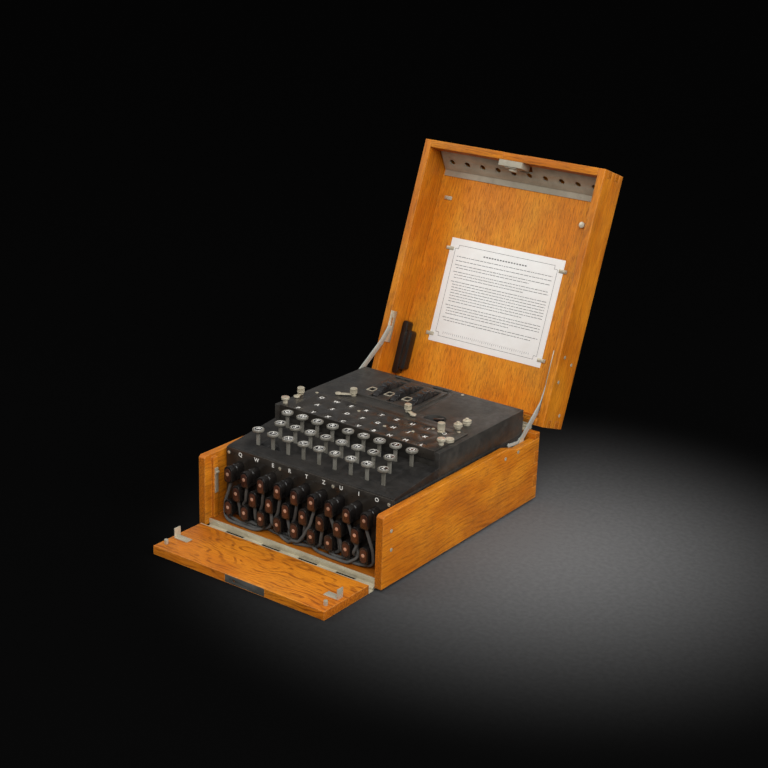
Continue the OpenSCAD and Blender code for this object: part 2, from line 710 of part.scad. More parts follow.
// The black cover over the rear of the machine, open over the rotors, lamps and switch
module top_housing() {
    under = deck_z - sheet_t;
    color(black_metal)
        lamp_ledges();
    color(black_metal)
        difference() {
            union() {
                block([-mach_x, housing_front, under], [mach_x, mach_rear, deck_z]);
                both_sides()
                    block([mach_x - sheet_t, housing_front, chassis_top], [mach_x, mach_rear, deck_z]);
                both_sides()
                    block([lamp_panel_x + 0.5, housing_front, chassis_top],
                        [mach_x, housing_front + sheet_t, deck_z]);
                block([-mach_x, housing_front + lip_t + 0.2, chassis_top],
                    [mach_x, housing_front + lip_t + 1.2, under]);
                block([-mach_x, mach_rear - sheet_t, chassis_top], [mach_x, mach_rear, deck_z]);
                post(switch_x, switch_y, switch_seat - 1.5, under, switch_r + 1.5);
            }
            block([-lamp_panel_x - 0.3, housing_front - 1, under - 1],
                [lamp_panel_x + 0.3, lamp_panel_back + 0.3, deck_z + 1]);
            block([cover_x0 - cover_gap, cover_y0 - cover_gap, under - 1],
                [cover_x1 + cover_gap, cover_y1 + cover_gap, deck_z + 1]);
            intersection() {
                post(switch_x, switch_y, switch_seat, deck_z + 1, switch_r);
                block([switch_x - 30, switch_y - 6, 0], [switch_x + 30, switch_y + 30, deck_z + 2]);
            }
            intersection() {
                post(switch_x, switch_y, switch_seat, under, switch_r);
                block([switch_x - 30, switch_y - 30, 0], [switch_x + 30, switch_y + 30, under]);
            }
        }
    color(black_metal)
        for (side = [[cover_x0 + 6, cover_x0 + 30], [cover_x1 - 34, cover_x1 - 10]])
            difference() {
                union() {
                    block([side[0], cover_axis_y + 2, deck_z],
                        [side[1], cover_axis_y + 8, deck_z + 0.9]);
                    knuckle_tongues(side[0], side[1], 3, 0,
                        [cover_axis_y, deck_z], [cover_axis_y + 3, deck_z + 0.9]);
                    knuckles(side[0], side[1], 3, 0, cover_axis_y, cover_axis_z, cover_barrel_r);
                }
                bar_x(side[0] - 1, side[1] + 1, cover_axis_y, cover_axis_z, 0.6);
            }
    color(black_metal)
        for (side = [[cover_x0 + 6, cover_x0 + 30], [cover_x1 - 34, cover_x1 - 10]])
            bar_x(side[0] + 0.2, side[1] - 0.2, cover_axis_y, cover_axis_z, 0.6);
}

// ---------- Lamps ----------

module lamp_places() {
    for (row = [0:2])
        for (i = [0:len(KEY_ROWS[row]) - 1])
            translate([row_x(i, len(KEY_ROWS[row]), lamp_pitch), lamp_y(row), 0])
                children();
}

module lamp_panel() {
    color(brown_plate)
        difference() {
            union() {
                block([-lamp_panel_x, housing_front, lamp_z - lamp_panel_t],
                    [lamp_panel_x, lamp_panel_back, lamp_z]);
                block([-lamp_panel_x, housing_front, lamp_z - 12],
                    [lamp_panel_x, housing_front + lip_t, lamp_z]);
            }
            lamp_places()
                post(0, 0, lamp_z - lamp_panel_t - 1, lamp_z + 1, window_r);
        }
}

// The film with the lamps' windows
module lamp_windows() {
    low = lamp_z - lamp_panel_t - film_t;
    color("#57504a")
        union() {
            block([6 - lamp_panel_x, housing_front + 5.5, low],
                [lamp_panel_x - 6, lamp_panel_back - 2, low + film_t]);
            lamp_places()
                post(0, 0, low, lamp_z - 1, window_r - 0.1);
        }
}

// The board with a bulb under every window
module lamp_block() {
    board_top = lamp_z - 22;
    color(brown_plate)
        block([sheet_t - mach_x, housing_front + 6, board_top - 3],
            [mach_x - sheet_t, lamp_panel_back - 2, board_top]);
    color("#e8e2c8")
        lamp_places() {
            post(0, 0, board_top, board_top + 9, 3.5);
            translate([0, 0, board_top + 11])
                sphere(r = 4.2);
        }
}

// ---------- Rotors ----------

// Spindle with its two end plates, the contact wheel on the right and the reflector on the left
module rotor_spindle() {
    left = rotor_mid_x - rotor_pitch - rotor_body - 1;
    right = rotor_mid_x + rotor_pitch + wheel_w / 2 + 1;
    color(grey_steel)
        bar_x(left - 22, right + 22, rotor_y, rotor_z, spindle_r);
    for (x = [left - 20.5, right + 17])
        color(grey_steel)
            difference() {
                plate_x(x, x + 3.5)
                    polygon([[rotor_y - 24, chassis_z + 2], [rotor_y + 24, chassis_z + 2],
                        [rotor_y + 12, rotor_z + 8], [rotor_y - 12, rotor_z + 8]]);
                bar_x(x - 1, x + 5, rotor_y, rotor_z, spindle_r);
            }
    color(brown_plate)
        for (x = [left - 16, right])
            difference() {
                bar_x(x, x + 16, rotor_y, rotor_z, ring_r);
                bar_x(x - 1, x + 17, rotor_y, rotor_z, spindle_r);
            }
}

// One rotor: thumbwheel with grips, body and number ring
module rotor(x) {
    color(bakelite)
        translate([x, rotor_y, rotor_z])
            rotate([0, 90, 0])
                difference() {
                    union() {
                        translate([0, 0, -wheel_w / 2])
                            cylinder(r = wheel_r, h = wheel_w);
                        translate([0, 0, -rotor_body])
                            cylinder(r = ring_r - 2, h = rotor_body);
                        translate([0, 0, 3 - rotor_body])
                            cylinder(r = ring_r, h = 10);
                    }
                    for (i = [0:rotor_n - 1])
                        rotate([0, 0, i * 360 / rotor_n])
                            translate([wheel_r + 1, 0, -wheel_w])
                                cylinder(r = 2.8, h = 2 * wheel_w);
                    translate([0, 0, -rotor_body - 1])
                        cylinder(r = spindle_r + run_fit, h = rotor_body + wheel_w);
                }
}

module rotor_left() {
    rotor(rotor_mid_x - rotor_pitch);
}

module rotor_middle() {
    rotor(rotor_mid_x);
}

module rotor_right() {
    rotor(rotor_mid_x + rotor_pitch);
}

module battery_box() {
    x0 = mach_x - 70;
    x1 = mach_x - 8;
    y0 = rotor_y - 30;
    y1 = rotor_y + 44;
    z0 = chassis_z + 2;
    color(bakelite)
        difference() {
            block([x0, y0, z0], [x1, y1, z0 + 70]);
            block([x0 + 3, y0 + 3, z0 + 3], [x1 - 3, y1 - 3, z0 + 71]);
        }
    color(brass)
        block([x0 + 4, y0 + 4, z0 + 3.1], [x1 - 4, y1 - 4, z0 + 64]);
}

// ---------- Deck ----------

// A turned knob on a washer
module knob(x, y, z, r, h) {
    translate([x, y, z])
        rotate_extrude()
            polygon([[0, 0], [r + 1.4, 0], [r + 1.4, 1], [r * 0.6, 1], [r * 0.6, 2.4],
                [r, 2.4], [r, h - 0.6], [r - 0.6, h], [0, h]]);
}

// A terminal: a broad nut on its base, with the stud above it
module terminal(x, y, z) {
    post(x, y, z, z + 2.4, 4.2);
    post(x, y, z + 2.3, z + 6.4, 5.6);
    post(x, y, z + 6.3, z + 9, 2.2);
}

// A button with a broad cap on a neck
module button(x, y, z) {
    post(x, y, z, z + 5, 3.2);
    post(x, y, z + 4.9, z + 8.4, 5.3);
}

module terminals() {
    color(nickel)
        union() {
            terminal(mach_x - 28.5, rotor_y - 51, deck_z);
            terminal(mach_x - 26.5, rotor_y - 34, deck_z);
        }
    color(nickel)
        union() {
            knob(mach_x - 36.5, lamp_panel_back - 15, lamp_z, 4.8, 12);
            button(9.5 - mach_x, housing_front + 8.7, lamp_z);
            button(mach_x - 12.5, housing_front + 21.7, lamp_z);
            post(mach_x - 10.5, housing_front + 36.7, lamp_z, lamp_z + 4, 5.6);
        }
    color(nickel)
        union() {
            for (p = PANEL_SCREWS)
                post(p[0], p[1], lamp_z, lamp_z + 0.6, screw_r);
            post(rotor_mid_x + 55, mach_rear - 6, deck_z, deck_z + 0.6, screw_r);
        }
}

// Boxes over the three thumbwheels
module wheel_slots(z0, z1) {
    for (i = [-1:1])
        block([rotor_mid_x + i * rotor_pitch - slot_w / 2, rotor_y - slot_reach, z0],
            [rotor_mid_x + i * rotor_pitch + slot_w / 2, rotor_y + slot_reach, z1]);
}

module rotor_cover() {
    under = deck_z - sheet_t;
    color(black_metal)
        difference() {
            union() {
                block([cover_x0, cover_y0, under], [cover_x1, cover_y1, deck_z]);
                block([cover_x0 + 6, rotor_y - slot_reach - 4, deck_z],
                    [rotor_mid_x + rotor_pitch + slot_w / 2 + 6, rotor_y + slot_reach + 4, deck_z + 2.5]);
                for (side = [[cover_x0 + 6, cover_x0 + 30], [cover_x1 - 34, cover_x1 - 10]]) {
                    knuckle_tongues(side[0], side[1], 3, 1,
                        [cover_y1 - 6, deck_z], [cover_axis_y, deck_z + 0.9]);
                    knuckles(side[0], side[1], 3, 1, cover_axis_y, cover_axis_z, cover_barrel_r);
                }
            }
            wheel_slots(under - 1, deck_z + 3);
            for (i = [-1:1])
                block([rotor_mid_x + i * rotor_pitch - 19, rotor_y - 19, under - 1],
                    [rotor_mid_x + i * rotor_pitch - 11, rotor_y - 9, deck_z + 3]);
            bar_x(cover_x0, cover_x1, cover_axis_y, cover_axis_z, 0.6 + run_fit);
        }
}

// A latch: a round foot on the deck, a flat arm that clears the lamp panel, and a tall knob
module latch(place, turn, reach) {
    arm_low = lamp_rise + 0.3;
    arm_top = arm_low + 1.2;
    translate([place[0], place[1], deck_z]) {
        translate([0, 0, 0.1])
            cylinder(r = latch_foot_r, h = arm_top - 0.1);
        rotate([0, 0, turn]) {
            translate([0, -2.8, arm_low])
                cube([reach, 5.6, arm_top - arm_low]);
            translate([reach, 0, arm_low])
                cylinder(r = 4, h = arm_top - arm_low + 0.8);
        }
        translate([0, 0, arm_low + 1])
            cylinder(r = 2.6, h = 2);
        translate([0, 0, arm_top + 1])
            cylinder(r = latch_knob_r, h = 7);
    }
}

module cover_latch_left() {
    color(nickel)
        latch(latch_left, 213, 20);
}

module cover_latch_right() {
    color(nickel)
        latch(latch_right, -32, 17);
}

module panel_latch() {
    color(nickel)
        latch(latch_panel, -75, 13);
}

module power_switch() {
    color(bakelite)
        union() {
            post(switch_x, switch_y, switch_seat + 0.1, switch_seat + 3, switch_r - 1);
            translate([switch_x, switch_y, switch_seat + 2])
                rotate([0, 0, 40])
                    translate([-1.6, -2, 0])
                        cube([13.5, 4, 8.5]);
        }
}

// ---------- Lid ----------

module lid_walls() {
    color(wood)
        on_lid() {
            both_sides()
                difference() {
                    block([inner_x, front_y, rim_z], [outer_x, back_y, lid_top]);
                    fingers(rim_z, lid_top, front_y - 1, front_y + wall_t + glue_gap);
                    fingers(rim_z, lid_top, rear_inner - glue_gap, back_y + 1);
                }
            difference() {
                end_wall(front_y, front_y + wall_t, rim_z, lid_top, lid_top);
                block([-13, front_y - 1, rim_z - 1], [20, front_y + wall_t + 1, rim_z + 2]);
            }
            difference() {
                end_wall(rear_inner, back_y, rim_z, lid_top, lid_top);
                both_sides()
                    block([inner_x - 6 - hinge_len, rear_inner + 1, rim_z - 1],
                        [inner_x - 6, back_y + 1, rim_z + leaf_t]);
            }
        }
}

module lid_panel() {
    color(wood)
        on_lid()
            block([-inner_x, front_y + wall_t, lid_inside], [inner_x, rear_inner, lid_top]);
}

// The inclined rail for spare bulbs
module bulb_rail() {
    y0 = front_y + wall_t;
    drop = 22;
    x1 = inner_x - 3;
    color(grey_steel)
        on_lid()
            difference() {
                plate_x(-x1, x1)
                    polygon([[y0, lid_inside - drop - 2.1], [y0 + drop, lid_inside - 2.1],
                        [y0 + drop, lid_inside - 1.5], [y0 + drop + 8, lid_inside - 1.5],
                        [y0 + drop + 8, lid_inside], [y0 + drop - 2.1, lid_inside],
                        [y0, lid_inside - drop]]);
                for (i = [0:9])
                    translate([row_x(i, 10, 24.85), y0 + drop / 2, lid_inside - drop / 2])
                        rotate([45, 0, 0])
                            translate([0, 0, -6])
                                cylinder(r = 4.2, h = 12);
                block([-19, y0 - 1, 0], [19, y0 + 10, lid_inside - drop + 7]);
            }
}

// A small turning clip that holds the sheet: arm from its screw towards the middle
module sheet_clip(x, y, way) {
    block([min(x, x + way * 12), y - 2.5, lid_inside - 1.5],
        [max(x, x + way * 12), y + 2.5, lid_inside - 0.7]);
    post(x + way * 3, y, lid_inside - 3, lid_inside, 2);
}

// The slotted plate on the lid's wall that the stay's stud stops in
module stay_plate() {
    plate_x(inner_x - 1, inner_x)
        difference() {
            translate([back_y - 100, rim_z])
                square([44, 14]);
            translate([back_y - 90, rim_z + 5])
                square([14, 3.4]);
        }
}

module lid_hinge_moving() {
    x0 = inner_x - 6 - hinge_len;
    x1 = inner_x - 6;
    difference() {
        union() {
            block([x0, rear_inner + 1, rim_z], [x1, hinge_y - barrel_r - 0.2, rim_z + leaf_t]);
            knuckle_tongues(x0, x1, 5, 1, [back_y, rim_z], [hinge_y - 1, rim_z + leaf_t]);
            knuckles(x0, x1, 5, 1, hinge_y, hinge_z, barrel_r);
        }
        bar_x(x0 - 1, x1 + 1, hinge_y, hinge_z, pin_r + run_fit);
    }
}

module lid_hardware() {
    y0 = front_y + wall_t;
    color(nickel)
        on_lid() {
            block([-18, y0, rim_z + 0.5], [18, y0 + 8, rim_z + 23]);
            bar_y(0, y0 + 8, y0 + 13, rim_z + 12, 6);
            block([-9, y0 + 8, rim_z + 3], [9, y0 + 9.5, rim_z + 20]);
            for (x = [-96, 96])
                for (y = [-33, 88])
                    sheet_clip(x, y, -sign(x));
            sheet_clip(-118, front_y + 70, 1);
            post(103, front_y + 72, lid_inside - 6, lid_inside, 4);
            both_sides() {
                stay_plate();
                lid_hinge_moving();
                for (p = [[back_y - 94, 14], [back_y - 61, 13], [back_y - 86, 37], [back_y - 18, 38]])
                    bar_x(outer_x, outer_x + 0.4, p[0], rim_z + p[1], 2.4);
            }
        }
}

module instruction_sheet() {
    color("#eceae2")
        on_lid()
            block([-90.5, -48, lid_inside - 0.5], [90.5, 98, lid_inside]);
}

// Spare plugs held in the rear corners of the lid
module plug_holders() {
    depth = lid_inside - 13;
    color(bakelite)
        on_lid()
            both_sides()
                union() {
                    translate([0, 0, depth])
                        linear_extrude(13)
                            union() {
                                for (y = [back_y - 86, back_y - 20])
                                    translate([inner_x - 5, y])
                                        circle(r = 4.6);
                                translate([inner_x - 9.6, back_y - 86])
                                    square([9.2, 66]);
                            }
                    translate([0, 0, depth + 1])
                        linear_extrude(12)
                            union() {
                                for (y = [back_y - 74, back_y - 27])
                                    translate([inner_x - 14, y])
                                        circle(r = 4.6);
                                translate([inner_x - 18.6, back_y - 74])
                                    square([10, 47]);
                            }
                }
}

// ---------- Flap ----------

module flap_board() {
    color(flap_wood)
        difference() {
            block([-flap_half_w, flap_front_y, 0], [flap_half_w, flap_rear_y, flap_t]);
            block([-16, flap_front_y - 1, flap_t - 10.5], [43, flap_front_y + 2, flap_t - 0.5]);
        }
}

module flap_hardware() {
    half = inner_x - 2;
    color(grey_steel)
        difference() {
            union() {
                block([-flap_half_w, flap_rear_y, 0], [flap_half_w, flap_rear_y + leaf_t, flap_t]);
                block([-flap_half_w, flap_rear_y, 0],
                    [flap_half_w, flap_hinge_y - flap_barrel_r - 0.2, leaf_t]);
                knuckle_tongues(-half, half, 9, 1, [flap_rear_y, 0], [flap_hinge_y, leaf_t]);
                knuckles(-half, half, 9, 1, flap_hinge_y, flap_hinge_z, flap_barrel_r);
            }
            bar_x(-inner_x, inner_x, flap_hinge_y, flap_hinge_z, flap_pin_r + run_fit);
        }
    color(nickel)
        both_sides() {
            block([inner_x - 26, flap_rear_y - 51.5, flap_t],
                [inner_x - 5.5, flap_rear_y - 41.5, flap_t + 1.2]);
            block([inner_x - 7, flap_rear_y - 51.5, flap_t],
                [inner_x - 5.5, flap_rear_y - 41.5, flap_t + 13]);
            post(inner_x - 9, flap_rear_y - 68.5, flap_t, flap_t + 6, 2.5);
        }
    color(grey_steel)
        difference() {
            block([-16, flap_front_y, flap_t - 10.5], [43, flap_front_y + 2, flap_t - 0.5]);
            bar_y(-3, flap_front_y - 1, flap_front_y + 3, flap_t - 6, 1.8);
        }
}

// ---------- Stays ----------

// A strap through points of the (y, z) plane, a little wider at each of them
module strap(points, w) {
    boss = 1;
    for (i = [0:len(points) - 2]) {
        way = points[i + 1] - points[i];
        translate(points[i]) {
            circle(d = w + boss);
            rotate(atan2(way[1], way[0]))
                translate([0, -w / 2])
                    square([norm(way), w]);
        }
    }
    translate(points[len(points) - 1])
        circle(d = w + boss);
}

// A stay arm that turns on its pin: its stud end lies beside the lid's slotted plate
module stay_arm(points, tail) {
    pivot = points[0];
    stud = points[len(points) - 1];
    difference() {
        plate_x(arm_x, arm_x + stay_t)
            union() {
                strap(points, stay_w);
                translate(pivot)
                    circle(r = 6);
                strap(tail, stay_w * 0.55);
            }
        bar_x(arm_x - 1, inner_x, pivot[0], pivot[1], stay_pin_r + run_fit);
    }
    bar_x(arm_x + 0.5, inner_x - 1 - arm_gap + 0.1, stud[0], stud[1], stay_pin_r);
}

module stay_arm_right() {
    color(nickel)
        stay_arm([right_pivot, right_bend, right_stud],
            [right_pivot, right_pivot + [-14, 1], right_pivot + [-28, 3]]);
}

module stay_arm_left() {
    color(nickel)
        mirror([1, 0, 0])
            stay_arm([left_pivot, left_bend, left_stud], [left_pivot, left_pivot + [-12, 0]]);
}

case_floor();
case_walls();
case_hardware();
chassis();
keyboard_plate();
key_contacts();
plugboard_panel();
plugs();
patch_cables();
top_housing();
lamp_panel();
lamp_windows();
lamp_block();
rotor_spindle();
rotor_left();
rotor_middle();
rotor_right();
battery_box();
terminals();
rotor_cover();
cover_latch_left();
cover_latch_right();
panel_latch();
power_switch();
lid_walls();
lid_panel();
bulb_rail();
lid_hardware();
instruction_sheet();
plug_holders();
flap_board();
flap_hardware();
stay_arm_left();
stay_arm_right();
for (row = [0:2])
    for (i = [0:len(KEY_ROWS[row]) - 1])
        key(row, i);
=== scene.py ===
# Looks of a rotor cipher machine in its wooden case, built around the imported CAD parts.
# Pieces are modelled in millimetres in the CAD's own frame, and settle() brings each to metres.
import math
import random

import bpy
from mathutils import Matrix, Vector


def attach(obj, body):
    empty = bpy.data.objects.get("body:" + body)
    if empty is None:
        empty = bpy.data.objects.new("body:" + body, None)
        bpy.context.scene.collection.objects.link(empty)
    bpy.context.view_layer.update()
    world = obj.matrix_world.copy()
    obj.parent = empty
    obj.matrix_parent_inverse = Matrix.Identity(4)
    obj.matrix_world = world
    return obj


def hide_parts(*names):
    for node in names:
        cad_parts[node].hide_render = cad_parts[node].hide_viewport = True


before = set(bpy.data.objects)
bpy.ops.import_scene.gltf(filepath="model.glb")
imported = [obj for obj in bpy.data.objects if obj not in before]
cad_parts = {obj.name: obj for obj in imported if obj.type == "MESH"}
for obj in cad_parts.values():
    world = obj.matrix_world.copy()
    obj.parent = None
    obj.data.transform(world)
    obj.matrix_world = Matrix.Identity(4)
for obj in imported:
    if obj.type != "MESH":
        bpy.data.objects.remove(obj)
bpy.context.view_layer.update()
bpy.ops.object.select_all(action="DESELECT")
scene = bpy.context.scene
scene.view_settings.view_transform = "Standard"
random.seed(7)
print("frame loaded:", len(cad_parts), "nodes")

# places that several pieces share
lidHinge = {"y": 174, "z": 96.5, "open": 110}
deck = {"top": 129, "lampTop": 130.2}
rotorShape = {"middleX": -18, "pitch": 28, "y": 91, "z": 95, "ringRadius": 30.02, "ringX": -15.5}
keyRows = ["QWERTZUIO", "ASDFGHJK", "PYXCVBNML"]


def rowX(i, count, pitch):
    return (i - (count - 1) / 2) * pitch


def rowPlaces(shape):
    # each letter with its x and its place across the rows, from the back row to the front
    for r, row in enumerate(keyRows):
        for i, letter in enumerate(row):
            yield letter, rowX(i, len(row), shape["pitch"]), shape["firstRow"] + (2 - r) * shape["rowPitch"]


def lidTurn():
    # from the closed lid, in millimetres, to where it stands open
    hinge = Matrix.Translation((0, lidHinge["y"], lidHinge["z"]))
    return hinge @ Matrix.Rotation(math.radians(-lidHinge["open"]), 4, "X") @ hinge.inverted()


# the camera stands where the photo's did
photoCamera = {"place": (1.0614, -1.4582, 0.8296), "azimuth": 35.48, "elevation": 20.38, "roll": 1.91,
               "lens": 72.8, "shiftX": -5.87 / 768, "shiftY": 11.87 / 768}


def addCamera(view):
    azimuth, elevation, roll = (math.radians(view[k]) for k in ("azimuth", "elevation", "roll"))
    back = Vector((math.sin(azimuth) * math.cos(elevation), -math.cos(azimuth) * math.cos(elevation),
                   math.sin(elevation)))
    right = (-back).cross(Vector((0, 0, 1))).normalized()
    up = right.cross(-back)
    tiltedRight = right * math.cos(roll) + up * math.sin(roll)
    tiltedUp = up * math.cos(roll) - right * math.sin(roll)
    bpy.ops.object.camera_add()
    camera = bpy.context.object
    turn = Matrix((tiltedRight, tiltedUp, back)).transposed().to_4x4()
    camera.matrix_world = Matrix.Translation(view["place"]) @ turn
    camera.data.lens = view["lens"]
    camera.data.shift_x = view["shiftX"]
    camera.data.shift_y = view["shiftY"]
    scene.camera = camera


addCamera(photoCamera)


# nodes for the finishes
def put(tree, kind, sockets=None, **settings):
    made = tree.nodes.new("ShaderNode" + kind)
    for name, value in settings.items():
        setattr(made, name, value)
    for name, value in (sockets or {}).items():
        if isinstance(value, bpy.types.NodeSocket):
            tree.links.new(value, made.inputs[name])
        else:
            made.inputs[name].default_value = value
    return made


def mixColour(tree, share, low, high, way="MIX"):
    return put(tree, "Mix", {0: share, 6: low, 7: high}, data_type="RGBA", blend_type=way).outputs[2]


def calc(tree, way, a, b=0.0, clamp=False):
    return put(tree, "Math", {0: a, 1: b}, operation=way, use_clamp=clamp).outputs[0]


def times(tree, a, b):
    return calc(tree, "MULTIPLY", a, b)


def between(tree, value, low, high, bottom=0.0, top=1.0):
    sockets = {"Value": value, "From Min": low, "From Max": high, "To Min": bottom, "To Max": top}
    return put(tree, "MapRange", sockets, interpolation_type="SMOOTHSTEP").outputs["Result"]


def noise(tree, spot, scale, detail=4.0, rough=0.55, distortion=0.0):
    sockets = {"Vector": spot, "Scale": scale, "Detail": detail, "Roughness": rough, "Distortion": distortion}
    return put(tree, "TexNoise", sockets).outputs[0]


def stretch(tree, spot, factors):
    return put(tree, "VectorMath", {0: spot, 1: factors}, operation="MULTIPLY").outputs[0]


def rgba(colour):
    return (*colour, 1.0)


def newGroup(name, inputs, outputs):
    group = bpy.data.node_groups.new(name, "ShaderNodeTree")
    for label, kind, value in inputs:
        socket = group.interface.new_socket(name=label, in_out="INPUT", socket_type="NodeSocket" + kind)
        if value is not None:
            socket.default_value = value
    for label, kind in outputs:
        group.interface.new_socket(name=label, in_out="OUTPUT", socket_type="NodeSocket" + kind)
    return group, group.nodes.new("NodeGroupInput").outputs


def endGroup(group, values):
    out = group.nodes.new("NodeGroupOutput")
    for label, socket in values.items():
        group.links.new(socket, out.inputs[label])


def useGroup(tree, group, sockets):
    made = tree.nodes.new("ShaderNodeGroup")
    made.node_tree = group
    for name, value in sockets.items():
        if isinstance(value, bpy.types.NodeSocket):
            tree.links.new(value, made.inputs[name])
        else:
            made.inputs[name].default_value = value
    return made.outputs


def makeWoodGrain():
    # grain runs along the vector's X, in millimetres
    group, given = newGroup("woodGrain", [
        ("Vector", "Vector", None), ("Facing", "Vector", None), ("Pale", "Color", (0.6, 0.3, 0.1, 1)),
        ("Honey", "Color", (0.5, 0.2, 0.06, 1)), ("Dark", "Color", (0.2, 0.06, 0.02, 1)),
        ("Figure", "Float", 0.6), ("Sway", "Float", 10.0), ("Flecks", "Float", 0.5)],
        [("Colour", "Color"), ("Roughness", "Float"), ("Height", "Float")])
    spot = given["Vector"]
    # the rings wander, as they do round a tree that didn't grow straight
    swayed = put(group, "TexNoise", {"Vector": stretch(group, spot, (0.4, 1, 1)), "Scale": 0.016,
                                     "Detail": 3.0}).outputs[1]
    swayed = put(group, "VectorMath", {0: swayed, 1: (0.5, 0.5, 0.5)}, operation="SUBTRACT").outputs[0]
    swayed = put(group, "VectorMath", {0: swayed, "Scale": given["Sway"]}, operation="SCALE").outputs[0]
    ringSpot = put(group, "VectorMath", {0: spot, 1: swayed}, operation="ADD").outputs[0]
    rings = put(group, "TexWave", {"Vector": stretch(group, ringSpot, (0.06, 1, 1)), "Scale": 0.085,
                "Distortion": 2.0, "Detail": 3.0, "Detail Scale": 1.4, "Detail Roughness": 0.6},
                wave_type="RINGS", rings_direction="X").outputs[1]
    broken = between(group, noise(group, stretch(group, spot, (0.16, 1, 1)), 0.22, 4, 0.6), 0.40, 0.62)
    late = times(group, between(group, rings, 0.45, 0.95), broken)
    late = times(group, late, given["Figure"])
    fibres = noise(group, stretch(group, spot, (0.05, 1, 1)), 0.8, 6, 0.7)
    pores = between(group, noise(group, stretch(group, spot, (0.08, 1, 1)), 0.95, 3, 0.55), 0.52, 0.61)
    pores = times(group, pores, given["Flecks"])
    patches = between(group, noise(group, stretch(group, spot, (0.5, 1, 1)), 0.022, 4), 0.34, 0.66)
    colour = mixColour(group, patches, given["Pale"], given["Honey"])
    colour = mixColour(group, times(group, pores, 0.55), colour, given["Dark"])
    colour = mixColour(group, late, colour, given["Dark"])
    lift = between(group, fibres, 0.3, 0.7, 0.86, 1.10)
    colour = mixColour(group, 1.0, colour, put(group, "CombineColor", {0: lift, 1: lift, 2: lift}).outputs[0],
                       "MULTIPLY")
    # a small knot here and there, dark in its middle
    knotSpot = stretch(group, ringSpot, (0.7, 1, 1))
    knots = put(group, "TexVoronoi", {"Vector": knotSpot, "Scale": 0.018}).outputs[0]
    colour = mixColour(group, times(group, between(group, knots, 0.085, 0.035), 0.8), colour,
                       given["Dark"])
    along = calc(group, "ABSOLUTE", put(group, "SeparateXYZ", {0: given["Facing"]}).outputs[0])
    ends = between(group, along, 0.75, 0.97)
    endShare = between(group, noise(group, spot, 0.5, 3), 0.3, 0.7)
    endTone = mixColour(group, endShare, given["Dark"], given["Honey"])
    colour = mixColour(group, times(group, ends, 0.7), colour, endTone)
    rough = between(group, fibres, 0.2, 0.8, 0.34, 0.48)
    rough = calc(group, "ADD", rough, times(group, pores, 0.2))
    height = calc(group, "SUBTRACT", times(group, fibres, 0.35), pores)
    height = calc(group, "SUBTRACT", height, times(group, late, 0.2))
    endGroup(group, {"Colour": colour, "Roughness": rough, "Height": height})
    return group


def makeEdgeWear():
    group, given = newGroup("edgeWear", [("Vector", "Vector", None), ("Radius", "Float", 0.001),
                                         ("Amount", "Float", 0.5)], [("Mask", "Float")])
    rounded = put(group, "Bevel", {"Radius": given["Radius"]}, samples=4).outputs[0]
    flat = put(group, "NewGeometry").outputs["Normal"]
    match = put(group, "VectorMath", {0: rounded, 1: flat}, operation="DOT_PRODUCT").outputs["Value"]
    edge = between(group, match, 0.995, 0.86)
    broken = between(group, noise(group, given["Vector"], 0.22, 5, 0.7), 0.38, 0.58)
    endGroup(group, {"Mask": times(group, times(group, edge, broken), given["Amount"])})
    return group


def makeGrime():
    group, given = newGroup("grime", [("Vector", "Vector", None), ("Scale", "Float", 0.05),
                                      ("Amount", "Float", 0.3)], [("Mask", "Float")])
    broad = between(group, noise(group, given["Vector"], given["Scale"], 6, 0.62), 0.42, 0.72)
    fineScale = times(group, given["Scale"], 14.0)
    fine = between(group, noise(group, given["Vector"], fineScale, 3), 0.4, 0.7)
    mask = times(group, broad, calc(group, "ADD", times(group, fine, 0.6), 0.4))
    endGroup(group, {"Mask": times(group, mask, given["Amount"])})
    return group


woodGrain = makeWoodGrain()
edgeWear = makeEdgeWear()
grime = makeGrime()


def newFinish(name):
    material = bpy.data.materials.new(name)
    material.use_nodes = True
    tree = material.node_tree
    shader = tree.nodes["Principled BSDF"]
    return material, tree, shader, put(tree, "TexCoord").outputs


def connect(tree, shader, **links):
    for label, socket in links.items():
        tree.links.new(socket, shader.inputs[label.replace("_", " ")])


woodLooks = {
    "case": {"pale": (0.7, 0.24, 0.012), "honey": (0.54, 0.15, 0.006), "dark": (0.17, 0.04, 0.004),
             "figure": 0.42, "sway": 26.0, "flecks": 0.55},
    "inside": {"pale": (0.8, 0.315, 0.022), "honey": (0.72, 0.225, 0.011), "dark": (0.3, 0.075, 0.007),
               "figure": 0.16, "sway": 12.0, "flecks": 1.0},
    "bay": {"pale": (0.44, 0.135, 0.01), "honey": (0.34, 0.09, 0.006), "dark": (0.1, 0.025, 0.004),
            "figure": 0.3, "sway": 26.0, "flecks": 0.5},
    "flap": {"pale": (0.66, 0.215, 0.012), "honey": (0.53, 0.145, 0.007), "dark": (0.2, 0.045, 0.004),
             "figure": 0.72, "sway": 60.0, "flecks": 0.5}}
grainTurns = {"X": (0, 0, 0), "Y": (0, 0, -math.pi / 2), "Z": (0, math.pi / 2, 0)}


